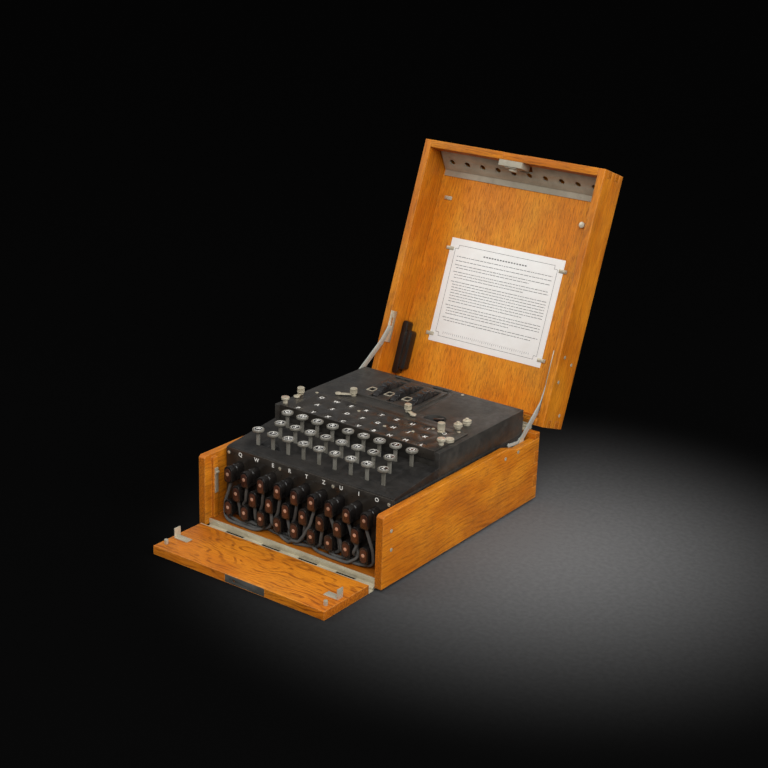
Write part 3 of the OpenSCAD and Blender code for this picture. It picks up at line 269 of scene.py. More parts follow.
def woodFinish(name, look, grain, heart, onLid=False):
    # heart is where the tree's middle lies from the board, in millimetres
    look = woodLooks[look]
    material, tree, shader, where = newFinish(name)
    spot, facing = where["Object"], where["Normal"]
    turns = [(math.radians(lidHinge["open"]), 0, 0)] if onLid else []
    for turn in [*turns, grainTurns[grain]]:
        spot = put(tree, "Mapping", {"Vector": spot, "Rotation": turn}).outputs[0]
        facing = put(tree, "Mapping", {"Vector": facing, "Rotation": turn}, vector_type="VECTOR").outputs[0]
    spot = put(tree, "Mapping", {"Vector": spot, "Scale": (1000, 1000, 1000), "Location": heart}).outputs[0]
    given = {k.capitalize(): rgba(v) if isinstance(v, tuple) else v for k, v in look.items()}
    grain = useGroup(tree, woodGrain, {"Vector": spot, "Facing": facing, **given})
    worn = useGroup(tree, edgeWear, {"Vector": spot, "Radius": 0.0022, "Amount": 0.55})["Mask"]
    dirt = useGroup(tree, grime, {"Vector": spot, "Scale": 0.02, "Amount": 0.35})["Mask"]
    colour = mixColour(tree, worn, grain["Colour"], (0.72, 0.36, 0.10, 1))
    colour = mixColour(tree, dirt, colour, (0.16, 0.06, 0.02, 1))
    bump = put(tree, "Bump", {"Height": grain["Height"], "Strength": 0.35, "Distance": 0.0004})
    connect(tree, shader, Base_Color=colour, Normal=bump.outputs[0],
            Roughness=calc(tree, "ADD", grain["Roughness"], times(tree, worn, 0.25)))
    shader.inputs["Specular IOR Level"].default_value = 0.2
    shader.inputs["Coat Weight"].default_value = 0.02
    shader.inputs["Coat Roughness"].default_value = 0.25
    return material


# colour and patch are the base and its slow variation, worn is the bare edge and bare how metallic it is,
# grime, grain and height are the dirt's share, the grain's scale and its depth in millimetres.
# usual holds the values that a finish names only where it differs
usual = {"metal": 0.0, "wear": 0.0, "grime": 0.3, "grain": 0.9, "height": 0.02, "bare": 1.0}
hardLooks = {
    "crinkle": {
        "colour": (0.01, 0.009, 0.008), "patch": (0.024, 0.021, 0.018), "worn": (0.2, 0.19, 0.175),
        "dirt": (0.075, 0.068, 0.058), "rough": (0.48, 0.66), "wear": 0.35, "grain": 1.5, "height": 0.3,
        "bare": 0.6},
    "deckPaint": {
        "colour": (0.024, 0.022, 0.019), "patch": (0.04, 0.036, 0.03), "worn": (0.22, 0.2, 0.18),
        "dirt": (0.1, 0.088, 0.072), "rough": (0.34, 0.52), "wear": 0.6, "grime": 0.25, "height": 0.05,
        "bare": 0.7},
    "lampPaint": {
        "colour": (0.018, 0.015, 0.012), "patch": (0.034, 0.028, 0.022), "worn": (0.24, 0.21, 0.18),
        "dirt": (0.1, 0.085, 0.066), "rough": (0.26, 0.42), "wear": 0.7, "grime": 0.2, "grain": 0.6,
        "height": 0.03, "bare": 0.7},
    "nickel": {
        "colour": (0.7, 0.63, 0.48), "patch": (0.54, 0.48, 0.35), "worn": (0.74, 0.7, 0.6),
        "dirt": (0.16, 0.12, 0.08), "rough": (0.26, 0.44), "metal": 0.45, "wear": 0.5, "grime": 0.35,
        "grain": 1.2},
    "keyMetal": {
        "colour": (0.31, 0.295, 0.25), "patch": (0.2, 0.185, 0.15), "worn": (0.62, 0.6, 0.54),
        "dirt": (0.14, 0.12, 0.09), "rough": (0.28, 0.46), "metal": 0.4, "wear": 0.4, "grain": 1.2},
    "stripSteel": {
        "colour": (0.57, 0.51, 0.36), "patch": (0.46, 0.41, 0.29), "worn": (0.56, 0.54, 0.46),
        "dirt": (0.14, 0.1, 0.06), "rough": (0.38, 0.58), "metal": 0.15, "wear": 0.5, "grime": 0.35,
        "grain": 0.8, "height": 0.04, "bare": 0.9},
    "staySteel": {
        "colour": (0.5, 0.52, 0.47), "patch": (0.42, 0.44, 0.39), "worn": (0.66, 0.66, 0.63),
        "dirt": (0.16, 0.13, 0.09), "rough": (0.3, 0.48), "metal": 0.3, "wear": 0.5},
    "railPaint": {
        "colour": (0.45, 0.4, 0.3), "patch": (0.37, 0.33, 0.245), "worn": (0.5, 0.47, 0.4),
        "dirt": (0.12, 0.09, 0.06), "rough": (0.36, 0.52), "metal": 0.1, "wear": 0.6, "grime": 0.35,
        "grain": 0.7, "height": 0.04, "bare": 0.9},
    "bakelite": {
        "colour": (0.007, 0.006, 0.006), "patch": (0.012, 0.01, 0.009), "worn": (0.07, 0.06, 0.05),
        "dirt": (0.08, 0.07, 0.055), "rough": (0.1, 0.24), "wear": 0.5, "grime": 0.15, "height": 0.015,
        "bare": 0.0},
    "insertBrown": {
        "colour": (0.075, 0.024, 0.012), "patch": (0.036, 0.013, 0.008), "worn": (0.16, 0.07, 0.04),
        "dirt": (0.03, 0.02, 0.015), "rough": (0.22, 0.38), "wear": 0.3, "bare": 0.0},
    "copper": {
        "colour": (0.78, 0.5, 0.36), "patch": (0.62, 0.36, 0.24), "worn": (0.75, 0.48, 0.36),
        "dirt": (0.12, 0.06, 0.04), "rough": (0.28, 0.45), "metal": 0.5, "wear": 0.4, "grain": 1.2},
    "wheelBlack": {
        "colour": (0.012, 0.011, 0.011), "patch": (0.022, 0.02, 0.019), "worn": (0.28, 0.27, 0.25),
        "dirt": (0.1, 0.09, 0.08), "rough": (0.24, 0.42), "wear": 0.8, "grain": 0.8, "height": 0.03,
        "bare": 0.8},
    "lockSteel": {
        "colour": (0.12, 0.12, 0.11), "patch": (0.075, 0.072, 0.062), "worn": (0.34, 0.33, 0.29),
        "dirt": (0.05, 0.04, 0.03), "rough": (0.3, 0.5), "metal": 0.3, "wear": 0.7, "grime": 0.4,
        "grain": 0.8, "height": 0.04, "bare": 0.8},
    "board": {
        "colour": (0.13, 0.07, 0.04), "patch": (0.1, 0.05, 0.03), "worn": (0.2, 0.13, 0.08),
        "dirt": (0.05, 0.04, 0.03), "rough": (0.4, 0.6), "wear": 0.2, "grain": 0.7, "bare": 0.0},
    "lettering": {
        "colour": (0.9, 0.88, 0.82), "patch": (0.82, 0.79, 0.72), "dirt": (0.3, 0.27, 0.22),
        "rough": (0.4, 0.55), "grime": 0.2, "grain": 1.5, "height": 0.01},
    "redPaint": {
        "colour": (0.5, 0.085, 0.035), "patch": (0.3, 0.03, 0.018), "worn": (0.5, 0.3, 0.22),
        "dirt": (0.1, 0.04, 0.03), "rough": (0.35, 0.5), "wear": 0.4, "grain": 1.2, "bare": 0.3},
    "film": {
        "colour": (0.05, 0.044, 0.038), "patch": (0.075, 0.066, 0.056), "dirt": (0.12, 0.11, 0.09),
        "rough": (0.14, 0.28), "grime": 0.25, "grain": 0.4, "height": 0.01},
    "paper": {
        "colour": (0.93, 0.92, 0.88), "patch": (0.9, 0.88, 0.84), "worn": (0.72, 0.7, 0.65),
        "dirt": (0.62, 0.56, 0.46), "rough": (0.5, 0.62), "wear": 0.3, "grime": 0.15, "grain": 2.0,
        "height": 0.01, "bare": 0.0},
    "ink": {
        "colour": (0.07, 0.069, 0.068), "patch": (0.13, 0.128, 0.125), "dirt": (0.2, 0.19, 0.18),
        "rough": (0.5, 0.6), "grain": 2.0, "height": 0.005},
    "bulb": {
        "colour": (0.8, 0.76, 0.62), "patch": (0.7, 0.66, 0.5), "dirt": (0.4, 0.35, 0.28),
        "rough": (0.12, 0.2), "grime": 0.2, "grain": 0.5, "height": 0.01},
    "braid": {
        "colour": (0.06, 0.058, 0.053), "patch": (0.09, 0.087, 0.079), "dirt": (0.03, 0.03, 0.028),
        "rough": (0.7, 0.85), "grime": 0.4, "grain": 1.6, "height": 0.4}}


def hardFinish(name):
    look = {**usual, **hardLooks[name]}
    material, tree, shader, where = newFinish(name)
    spot = put(tree, "Mapping", {"Vector": where["Object"], "Scale": (1000, 1000, 1000)}).outputs[0]
    slow = between(tree, noise(tree, spot, 0.035, 5, 0.6), 0.35, 0.65)
    colour = mixColour(tree, slow, rgba(look["colour"]), rgba(look["patch"]))
    dirt = useGroup(tree, grime, {"Vector": spot, "Scale": 0.06, "Amount": look["grime"]})["Mask"]
    colour = mixColour(tree, dirt, colour, rgba(look["dirt"]))
    rough = between(tree, noise(tree, spot, 0.12, 5, 0.65), 0.3, 0.7, *look["rough"])
    rough = calc(tree, "ADD", rough, times(tree, dirt, 0.25))
    shader.inputs["Metallic"].default_value = look["metal"]
    if look["wear"]:
        worn = useGroup(tree, edgeWear, {"Vector": spot, "Radius": 0.0007, "Amount": look["wear"]})["Mask"]
        colour = mixColour(tree, worn, colour, rgba(look["worn"]))
        if look["bare"] != look["metal"]:
            metal = put(tree, "MapRange", {"Value": worn, "To Min": look["metal"],
                                           "To Max": look["bare"]})
            connect(tree, shader, Metallic=metal.outputs[0])
    bump = put(tree, "Bump", {"Height": noise(tree, spot, look["grain"], 3, 0.6), "Strength": 0.6,
                              "Distance": look["height"] * 0.001})
    connect(tree, shader, Base_Color=colour, Roughness=rough, Normal=bump.outputs[0])
    return material


hard = {name: hardFinish(name) for name in hardLooks}
print("finishes made:", len(hard))


# modelling helpers
def pick(*pieces):
    bpy.ops.object.select_all(action="DESELECT")
    for piece in pieces:
        piece.select_set(True)
    bpy.context.view_layer.objects.active = pieces[0]


def grip(piece, choose):
    # opens edit mode with the faces that pass a test
    pick(piece)
    bpy.ops.object.mode_set(mode="EDIT")
    bpy.ops.mesh.select_mode(type="FACE")
    bpy.ops.mesh.select_all(action="DESELECT")
    bpy.ops.object.mode_set(mode="OBJECT")
    for face in piece.data.polygons:
        face.select = choose(face.center, face.normal)
    bpy.ops.object.mode_set(mode="EDIT")


def release():
    bpy.ops.object.mode_set(mode="OBJECT")


def bevel(piece, width, steps=2, angle=30):
    pick(piece)
    edges = piece.modifiers.new("edges", "BEVEL")
    edges.width = width
    edges.segments = steps
    edges.limit_method = "ANGLE"
    edges.angle_limit = math.radians(angle)
    edges.harden_normals = False
    bpy.ops.object.modifier_apply(modifier=edges.name)
    bpy.ops.object.shade_smooth_by_angle(angle=math.radians(38))
    return piece


def nodeCopy(node, name):
    # a CAD node's shape as one clean mesh, in millimetres
    piece = bpy.data.objects.new(name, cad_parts[node].data.copy())
    scene.collection.objects.link(piece)
    piece.data.materials.clear()
    piece.data.transform(Matrix.Scale(1000, 4))
    pick(piece)
    if piece.data.has_custom_normals:
        bpy.ops.mesh.customdata_custom_splitnormals_clear()
    bpy.ops.object.mode_set(mode="EDIT")
    bpy.ops.mesh.select_all(action="SELECT")
    bpy.ops.mesh.remove_doubles(threshold=0.001)
    bpy.ops.mesh.dissolve_limited(angle_limit=math.radians(0.6))
    release()
    return piece


def looseParts(piece):
    pick(piece)
    bpy.ops.object.mode_set(mode="EDIT")
    bpy.ops.mesh.select_all(action="SELECT")
    bpy.ops.mesh.separate(type="LOOSE")
    release()
    return list(bpy.context.selected_objects)


def middle(piece):
    spots = [v.co for v in piece.data.vertices]
    return Vector([(min(s[i] for s in spots) + max(s[i] for s in spots)) / 2 for i in range(3)])


def join(name, pieces):
    pick(*pieces)
    if len(pieces) > 1:
        bpy.ops.object.join()
    whole = bpy.context.view_layer.objects.active
    whole.name = name
    whole.data.name = name
    return whole


def paint(piece, material):
    piece.data.materials.clear()
    piece.data.materials.append(material)
    return piece


def copyTo(piece, matrix):
    twin = piece.copy()
    twin.data = piece.data.copy()
    twin.data.transform(matrix)
    scene.collection.objects.link(twin)
    return twin


def drop(piece):
    bpy.data.objects.remove(piece)


def settle(piece, body, nodes=(), finish=None):
    # gives a piece its body and finish, which is a material or the name of one, and hides the CAD nodes it
    # stands in for
    pick(piece)
    bpy.ops.object.transform_apply()
    piece.data.transform(Matrix.Scale(0.001, 4))
    if finish is not None:
        paint(piece, hard[finish] if isinstance(finish, str) else finish)
    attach(piece, body)
    if nodes:
        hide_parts(*nodes)
    return piece


def block(name, low, high):
    size = [b - a for a, b in zip(low, high)]
    bpy.ops.mesh.primitive_cube_add(size=1, location=[(a + b) / 2 for a, b in zip(low, high)])
    piece = bpy.context.object
    piece.scale = size
    piece.name = name
    bpy.ops.object.transform_apply()
    return piece


def extruded(piece, axis, spot, width, steps, centre=(0, 0, 0)):
    # a disc that is extruded along an axis and resized at each step of (spot, width)
    bpy.ops.object.mode_set(mode="EDIT")
    bpy.ops.mesh.select_mode(type="FACE")
    bpy.ops.mesh.select_all(action="SELECT")
    for newSpot, newWidth in steps:
        move, share, centre = [0, 0, 0], [newWidth / width] * 3, list(centre)
        move[axis], share[axis], centre[axis] = newSpot - spot, 1, newSpot
        bpy.ops.mesh.extrude_region_move(TRANSFORM_OT_translate={"value": move})
        bpy.ops.transform.resize(value=share, center_override=centre)
        spot, width = newSpot, newWidth
    bpy.ops.mesh.select_all(action="SELECT")
    bpy.ops.mesh.normals_make_consistent(inside=False)
    release()
    return piece


def turned(name, profile, sides=32):
    # a lathe form on the Z axis, from a profile of (radius, z)
    radius, z = profile[0]
    bpy.ops.mesh.primitive_circle_add(vertices=sides, radius=radius, fill_type="NGON", location=(0, 0, z))
    piece = bpy.context.object
    piece.name = name
    bpy.ops.object.transform_apply()
    return extruded(piece, 2, z, radius, [(newZ, newRadius) for newRadius, newZ in profile[1:]])


def knurl(piece, low, high, radius, depth=0.35, rim=0.12):
    # every side face of a band is sunk a little inside its own border
    grip(piece, lambda c, n: low < c.z < high and abs(n.z) < 0.3 and Vector((c.x, c.y)).length > radius)
    bpy.ops.mesh.inset(thickness=rim, depth=-depth, use_individual=True)
    release()


def lettering(name, words, size, matrix, depth=0.05, bold=0.0):
    bpy.ops.object.text_add()
    made = bpy.context.object
    made.data.body = words
    made.data.size = size
    made.data.align_x = "CENTER"
    made.data.align_y = "CENTER"
    made.data.extrude = depth
    made.data.resolution_u = 3
    made.data.offset = bold
    pick(made)
    bpy.ops.object.convert(target="MESH")
    made = bpy.context.object
    made.name = name
    made.data.transform(matrix)
    return made


at = Matrix.Translation


# patch cables: the routes of the CAD's tubes, in millimetres, drawn as smooth cords. Each has the
# x and z of its two plugs' feet and the points between them
cableRoutes = [
    ((-104, 65), (-52, 21), [(-107.4, -152.1, 51.6), (-111.1, -152.2, 41.3), (-112.4, -152.4, 36),
     (-112.7, -153.2, 25), (-112.2, -153.6, 22.4), (-111, -154.3, 20), (-109.3, -155, 18),
     (-104.7, -156.2, 15.4), (-99.3, -156.2, 14.3), (-88.4, -156.5, 14.2), (-77.4, -156.7, 14.2),
     (-66.5, -156.7, 14.2), (-61.2, -155.6, 14.2), (-56, -154.7, 15.7), (-53.8, -153.7, 16.9)]),
    ((-78, 65), (-65, 43), [(-80.2, -150.8, 54.1), (-81.8, -149.6, 46.1), (-82.9, -149.2, 43.6),
     (-86.2, -148.4, 39.3), (-87, -147.9, 36.8), (-86.9, -146.2, 25.9), (-86.1, -146.7, 20.5),
     (-85, -146.9, 18), (-83.4, -146.4, 15.9), (-81.2, -145.5, 14.6), (-78.6, -144.7, 14.2),
     (-70.6, -142.6, 14.5), (-68.2, -142.3, 15.8), (-66.8, -143, 18), (-66.2, -144.7, 20.1),
     (-66.1, -148.6, 24), (-66, -149.8, 26.4), (-65.5, -150.9, 31.8)]),
    ((-52, 65), (-91, 43), [(-54.1, -150.6, 54.3), (-56, -149.2, 46.5), (-60.6, -146.8, 37.1),
     (-63.6, -143.4, 27.2), (-67.1, -139.4, 21.1), (-70.7, -138.5, 17.3), (-73, -138.7, 15.8),
     (-78.1, -139.7, 14.3), (-83.3, -141.2, 14.3), (-87.8, -143.7, 15.8), (-90.8, -146.5, 19.3),
     (-91.3, -147.8, 21.6), (-91.2, -148.7, 24.2), (-90.6, -150.4, 32.1)]),
    ((-26, 65), (-104, 21), [(-28.2, -150.9, 54), (-31.3, -149.4, 43.4), (-36.8, -148.2, 33.8),
     (-39.6, -147.9, 29), (-44, -147.8, 21.9), (-45.7, -147.7, 19.7), (-48, -147.7, 18.2),
     (-53, -148, 15.7), (-58.2, -149.7, 14.8), (-66.3, -151.5, 14.2), (-71.8, -151.3, 14.2),
     (-77, -149.6, 14.2), (-85.1, -151.3, 14.3), (-93.3, -151.7, 15.1)]),
    ((0, 65), (39, 43), [(-2.2, -150.9, 53.9), (-5.3, -149.4, 43.2), (-10.3, -148.2, 33.2),
     (-12.5, -148.5, 28.1), (-13.2, -149.1, 25.4), (-12.5, -150, 22.9), (-10.8, -150.7, 20.7),
     (-4.3, -152.2, 15.6), (-2.2, -153.5, 14.2), (0.4, -154.5, 14.2), (8.3, -151.6, 14.2),
     (19.2, -149.2, 14.7), (27.3, -147.8, 16.4), (29.8, -148.1, 17.7), (33.7, -149.3, 21.4),
     (34.9, -149.9, 23.9), (36.9, -151.1, 31.9)]),
    ((26, 65), (-26, 21), [(23.8, -152.4, 54), (20.8, -153, 43.5), (15.7, -153.7, 33.8),
     (11.8, -154.5, 26.6), (6.9, -155.5, 20.1), (4.6, -156, 18.7), (-0.8, -156.7, 18.2),
     (-3.5, -156.7, 17.5), (-8, -156.3, 14.5), (-10.6, -155.7, 14.2), (-18.6, -153.7, 15),
     (-23.6, -152.6, 16.8)]),
    ((52, 65), (-13, 43), [(54.2, -150.9, 54), (56.2, -149.8, 46.1), (59.9, -148.6, 38.8),
     (60.6, -148.2, 36.1), (61, -146.4, 25.2), (60.7, -145.9, 22.5), (59.6, -145.3, 20.1),
     (57.8, -144.7, 18.1), (53.1, -143.6, 15.4), (50.5, -143, 14.5), (42.3, -142, 14.2),
     (36.8, -141.7, 14.2), (28.5, -141.6, 14.2), (20.2, -141.7, 14.2), (11.9, -142, 14.2),
     (3.6, -142.6, 14.2), (-4.6, -143, 14.5), (-6.8, -143.6, 16.1), (-7.8, -144.8, 18.4),
     (-8.4, -147.4, 23.2), (-8.6, -151.2, 27.3), (-9.4, -152.4, 29.6), (-10.4, -152.8, 32.1)]),
    ((78, 65), (26, 21), [(80.2, -151.1, 54.2), (83, -149.9, 43.8), (86.9, -149.1, 36.7),
     (90.3, -149.4, 29.2), (91, -150, 26.7), (91, -150.9, 24.2), (89.7, -151.9, 22), (87.8, -152.7, 20.2),
     (81.4, -155, 15.8), (78.9, -155.5, 14.8), (73.6, -155.4, 14.2), (62.7, -155.4, 14.2),
     (54.6, -155.4, 14.2), (46.5, -154.8, 14.2), (38.4, -154.1, 14.2), (33.1, -153.7, 14.8),
     (28.1, -153.1, 16.7)]),
    ((104, 65), (52, 21), [(107.4, -151.4, 51.5), (111.2, -150.8, 41.1), (112.4, -150.4, 35.8),
     (112.9, -149.6, 24.8), (112.4, -149.3, 22.1), (111.1, -148.8, 19.7), (109, -148.4, 17.9),
     (104.1, -147.7, 15.5), (98.8, -147.2, 14.3), (93.3, -146.6, 14.2), (85, -145.9, 14.2),
     (77, -143.9, 14.2), (74.3, -144.1, 14.2), (66.9, -147.7, 14.2), (58.9, -149.8, 14.3),
     (56.3, -150.5, 14.9)]),
    ((-39, 43), (0, 21), [(-37.3, -153.1, 32), (-36.7, -152.6, 29.4), (-35, -148.2, 22.7),
     (-32.9, -145, 18.8), (-29.4, -142.3, 15.7), (-27, -141.5, 14.7), (-21.6, -140.4, 14.2),
     (-13.5, -139.4, 14.3), (-10.8, -139.1, 14.9), (-5.8, -138.6, 17.1), (-3.5, -139.5, 18.2),
     (-2.1, -141.7, 18.8), (-2.1, -147.2, 18.8), (-1.5, -149.8, 18.7)]),
    ((13, 43), (-78, 21), [(10.9, -150.8, 32.1), (7.9, -149.2, 21.6), (2, -148.2, 15.9),
     (-0.4, -148, 14.5), (-8.6, -147.9, 14.2), (-16.9, -147.8, 14.2), (-22.4, -147.6, 14.2),
     (-30.7, -147, 14.2), (-41.6, -145.4, 14.2), (-52.5, -143.6, 14.2), (-63.1, -146.4, 15.5),
     (-73.2, -149.5, 18.7), (-75.7, -150.7, 18.7)]),
    ((65, 43), (104, 21), [(67.1, -151.5, 32.1), (69.1, -150.9, 24.2), (71.3, -150.2, 19.3),
     (74.9, -149.3, 15.3), (77.3, -149.2, 14.2), (85.4, -150.6, 14.4), (93.5, -151.2, 15.3)]),
    ((91, 43), (78, 21), [(90.4, -152.8, 37.4), (88.6, -154.1, 32.4), (87.5, -153.9, 29.9),
     (86.7, -152.7, 27.6), (86.4, -150.8, 25.6), (87.1, -145.1, 19.7), (86.5, -143.2, 17.9),
     (84.8, -141.4, 16.8), (82.2, -140.7, 16.9), (79.9, -141.7, 17.9), (78.6, -143.9, 18.8),
     (78.5, -149.4, 18.8)])]
cable = {"diameter": 0.004, "stepsBetween": 3, "footY": -152, "straight": 3}


def smoothPath(points, steps):
    # a curve through all the points, as a draughtsman's spline bends
    spots = [Vector(p) for p in points]
    ends = [spots[0] * 2 - spots[1], *spots, spots[-1] * 2 - spots[-2]]
    path = []
    for i in range(1, len(ends) - 2):
        a, b, c, d = ends[i - 1:i + 3]
        for k in range(steps):
            t = k / steps
            path.append(0.5 * (2 * b + (c - a) * t + (2 * a - 5 * b + 4 * c - d) * t * t
                               + (3 * b - a - 3 * c + d) * t ** 3))
    return [*path, spots[-1]]


def addCable(number, first, last, way):
    # a cable leaves and reaches its plugs along their own axis
    y, straight = cable["footY"], cable["straight"]
    (x0, z0), (x1, z1) = first, last
    points = [(x0, y, z0), (x0, y, z0 - straight), *way, (x1, y, z1 - straight), (x1, y, z1)]
    path = [p * 0.001 for p in smoothPath(points, cable["stepsBetween"])]
    line = bpy.data.curves.new(f"cable{number:02d}", "CURVE")
    line.dimensions = "3D"
    line.bevel_depth = cable["diameter"] / 2
    line.bevel_resolution = 3
    line.use_fill_caps = True
    spline = line.splines.new("POLY")
    spline.points.add(len(path) - 1)
    for spot, point in zip(path, spline.points):
        point.co = (*spot, 1)
    spline.use_smooth = True
    cord = bpy.data.objects.new(line.name, line)
    scene.collection.objects.link(cord)
    line.materials.append(hard["braid"])
    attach(cord, "case")
    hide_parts("patch_cables")
    length = sum((b - a).length for a, b in zip(path, path[1:]))
    return length


lengths = [addCable(i, *route) for i, route in enumerate(cableRoutes)]
print("cables:", len(lengths), "from", round(min(lengths), 3), "to", round(max(lengths), 3), "m")


# wooden boards, each with its own grain
def board(piece, name, body, look, grain, heart, nodes=(), onLid=False, width=0.7):
    piece.name = name
    bevel(piece, width, 3)
    settle(piece, body, nodes, woodFinish(name + "Wood", look, grain, heart, onLid))


board(nodeCopy("case_floor", "caseFloor"), "caseFloor", "case", "bay", "X", (0, 40, 90),
      ["case_floor"])
for wall in looseParts(nodeCopy("case_walls", "caseWall")):
    x = middle(wall).x
    if abs(x) < 60:
        board(wall, "wallRear", "case", "case", "X", (0, -60, 40), ["case_walls"])
    else:
        board(wall, "wallRight" if x > 0 else "wallLeft", "case", "case", "Y",
              (0, 80 if x > 0 else -70, 25), ["case_walls"])
for wall in looseParts(nodeCopy("lid_walls", "lidWall")):
    spot = lidTurn().inverted() @ middle(wall)
    if abs(spot.x) > 60:
        board(wall, "lidRight" if spot.x > 0 else "lidLeft", "lid", "case", "Y",
              (0, 90 if spot.x > 0 else -80, 60), ["lid_walls"], True)
    else:
        board(wall, "lidRear" if spot.y > 0 else "lidFront", "lid", "case", "X",
              (0, 70, 30 if spot.y > 0 else -40), ["lid_walls"], True)
board(nodeCopy("lid_panel", "lidPanel"), "lidPanel", "lid", "inside", "Y", (0, 30, -20),
      ["lid_panel"], True)
board(nodeCopy("flap_board", "flapBoard"), "flapBoard", "flap", "flap", "X", (40, 190, 60),
      ["flap_board"])
print("boards done")


# sheet metal and moulded parts that keep the CAD's shape, with broken edges
softened = {
    "chassis": ("case", "crinkle_black", "crinkle", 0.5),
    "keyboard_plate": ("case", "crinkle_black", "crinkle", 0.35),
    "plugboard_panel": ("case", "crinkle_black", "lampPaint", 0.4),
    "top_housing": ("case", "crinkle_black", "deckPaint", 0.5),
    "lamp_panel": ("case", "lamp_plate", "lampPaint", 0.35),
    "rotor_cover": ("cover", "crinkle_black", "deckPaint", 0.4),
    "power_switch": ("switch_lever", "bakelite", "bakelite", 0.5),
    **{f"rotor_{side}": (f"rotor_{k}", "rotor_black", "wheelBlack", 0.45)
       for side, k in (("left", 1), ("middle", 2), ("right", 3))},
    "bulb_rail": ("lid", "grey_paint", "railPaint", 0.3),
    "plug_holders": ("lid", "bakelite", "bakelite", 0.6),
    "instruction_sheet": ("lid", "paper", "paper", 0.12),
    "stay_arm_left": ("stay_left", "nickel", "staySteel", 0.3),
    "stay_arm_right": ("stay_right", "nickel", "staySteel", 0.3)}
for node, (body, slot, look, width) in softened.items():
    words = node.split("_")
    name = words[0] + "".join(w.capitalize() for w in words[1:])
    settle(bevel(nodeCopy(node, name), width), body, [node], look)

# hardware nodes hold several small parts, each with its own metal
metalSlots = {"nickel": "nickel", "stripSteel": "grey_steel", "railPaint": "grey_paint",
              "lockSteel": "grey_steel"}
metalPlaces = {"lockHalfWidth": 24, "lockY": -140, "stripWidth": 50, "flapLockY": -240}


def metalOf(node, part):
    if node == "lid_hardware":
        spot = lidTurn().inverted() @ middle(part)
        lock = abs(spot.x) < metalPlaces["lockHalfWidth"] and spot.y < metalPlaces["lockY"]
        return "railPaint" if lock else "nickel"
    if part.dimensions.x <= metalPlaces["stripWidth"]:
        return "nickel"
    front = node == "flap_hardware" and middle(part).y < metalPlaces["flapLockY"]
    return "lockSteel" if front else "stripSteel"


for node, body in (("case_hardware", "case"), ("lid_hardware", "lid"), ("flap_hardware", "flap")):
    groups = {metal: [] for metal in metalSlots}
    for part in looseParts(nodeCopy(node, node)):
        bevel(part, 0.25)
        groups[metalOf(node, part)].append(part)
    for metal, parts in groups.items():
        if parts:
            name = node.split("_")[0] + metal[0].upper() + metal[1:]
            settle(join(name, parts), body, [node], metal)

# inner parts stay as the CAD made them, in their own finishes
for node, look in (("key_contacts", "board"), ("lamp_windows", "film"), ("lamp_block", "bulb"),
                   ("rotor_spindle", "stripSteel"), ("battery_box", "bakelite")):
    paint(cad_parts[node], hard[look])
print("metal and moulded parts done")


# plugs
plugShape = {"pitch": 26, "firstRow": 32, "rowPitch": 22, "front": -157.2, "panel": -134, "radius": 6.2,
             "corner": 3.0, "top": 10, "bottom": -11, "letter": 7.2, "letterZ": 94.2, "bold": 0.12,
             "screwZ": 93.4, "screwsX": (-121.8, -40.6, 40.6, 121.8)}
insertShape = {"radius": 4.5, "top": 7.3, "bottom": -9.7, "thick": 0.8, "contact": 2.3}


def ovalPlate(name, radius, corner, top, bottom, y0, steps, sides=36):
    # a disc that faces the front, pulled long and squared at its foot, then extruded back
    bpy.ops.mesh.primitive_circle_add(vertices=sides, radius=radius, fill_type="NGON",
                                      rotation=(math.pi / 2, 0, 0), location=(0, y0, 0))
    piece = bpy.context.object
    piece.name = name
    bpy.ops.object.transform_apply()
    for v in piece.data.vertices:
        if v.co.z > 0.001:
            v.co.z += top - radius
        else:
            angle = math.atan2(v.co.z, v.co.x)
            v.co.x = math.copysign(radius - corner, v.co.x) + corner * math.cos(angle)
            v.co.z = bottom + corner + corner * math.sin(angle)
    return extruded(piece, 1, y0, 1.0, steps, (0, 0, (top + bottom) / 2))


def makePlug(shape, inlay):
    front, panel = shape["front"], shape["panel"]
    steps = [(-149, 1.0), (-148.4, 0.93), (-146.6, 0.93), (-146, 1.0), (panel + 1, 1.0), (panel, 0.96)]
    body = ovalPlate("plugBody", shape["radius"], shape["corner"], shape["top"], shape["bottom"], front,
                     steps)
    bevel(body, 0.7, 3, 40)
    insert = ovalPlate("plugInsert", inlay["radius"], inlay["radius"], inlay["top"], inlay["bottom"],
                       front - inlay["thick"], [(front + 1.0, 1.0)])
    bevel(insert, 0.4, 2, 40)
    contact = turned("plugContact", [(inlay["contact"], -1), (inlay["contact"], 0.2),
                                     (inlay["contact"] * 0.8, 0.4), (inlay["contact"] * 0.4, 0.5)], 20)
    contact.data.transform(at((0, front - inlay["thick"], 0)) @ Matrix.Rotation(math.pi / 2, 4, "X"))
    return body, insert, contact


plugParts = makePlug(plugShape, insertShape)
for part, name, look in zip(plugParts, ("plugBodies", "plugInserts", "plugContacts"),
                            ("bakelite", "insertBrown", "copper")):
    row = [copyTo(part, at((x, 0, z))) for letter, x, z in rowPlaces(plugShape)]
    drop(part)
    settle(join(name, row), "case", ["plugs"], look)
upright = Matrix.Rotation(math.pi / 2, 4, "X")
letters = []
for i, letter in enumerate(keyRows[0]):
    x = rowX(i, len(keyRows[0]), plugShape["pitch"])
    place = at((x, plugShape["panel"] - 0.03, plugShape["letterZ"])) @ upright
    letters.append(lettering("letter", letter, plugShape["letter"], place, bold=plugShape["bold"]))
settle(join("plugLetters", letters), "case", (), "lettering")
print("plugs done:", len(row))


# keys
keyShape = {"pitch": 23.9, "rowPitch": 28, "firstRow": -110.4, "rise": 21.2, "stemWidth": 5, "stemThick": 1.8,
            "stemFoot": 83.5, "plateY": -134, "plateZ": 100.3, "slope": 6, "letter": 8.6, "bold": 0.12}


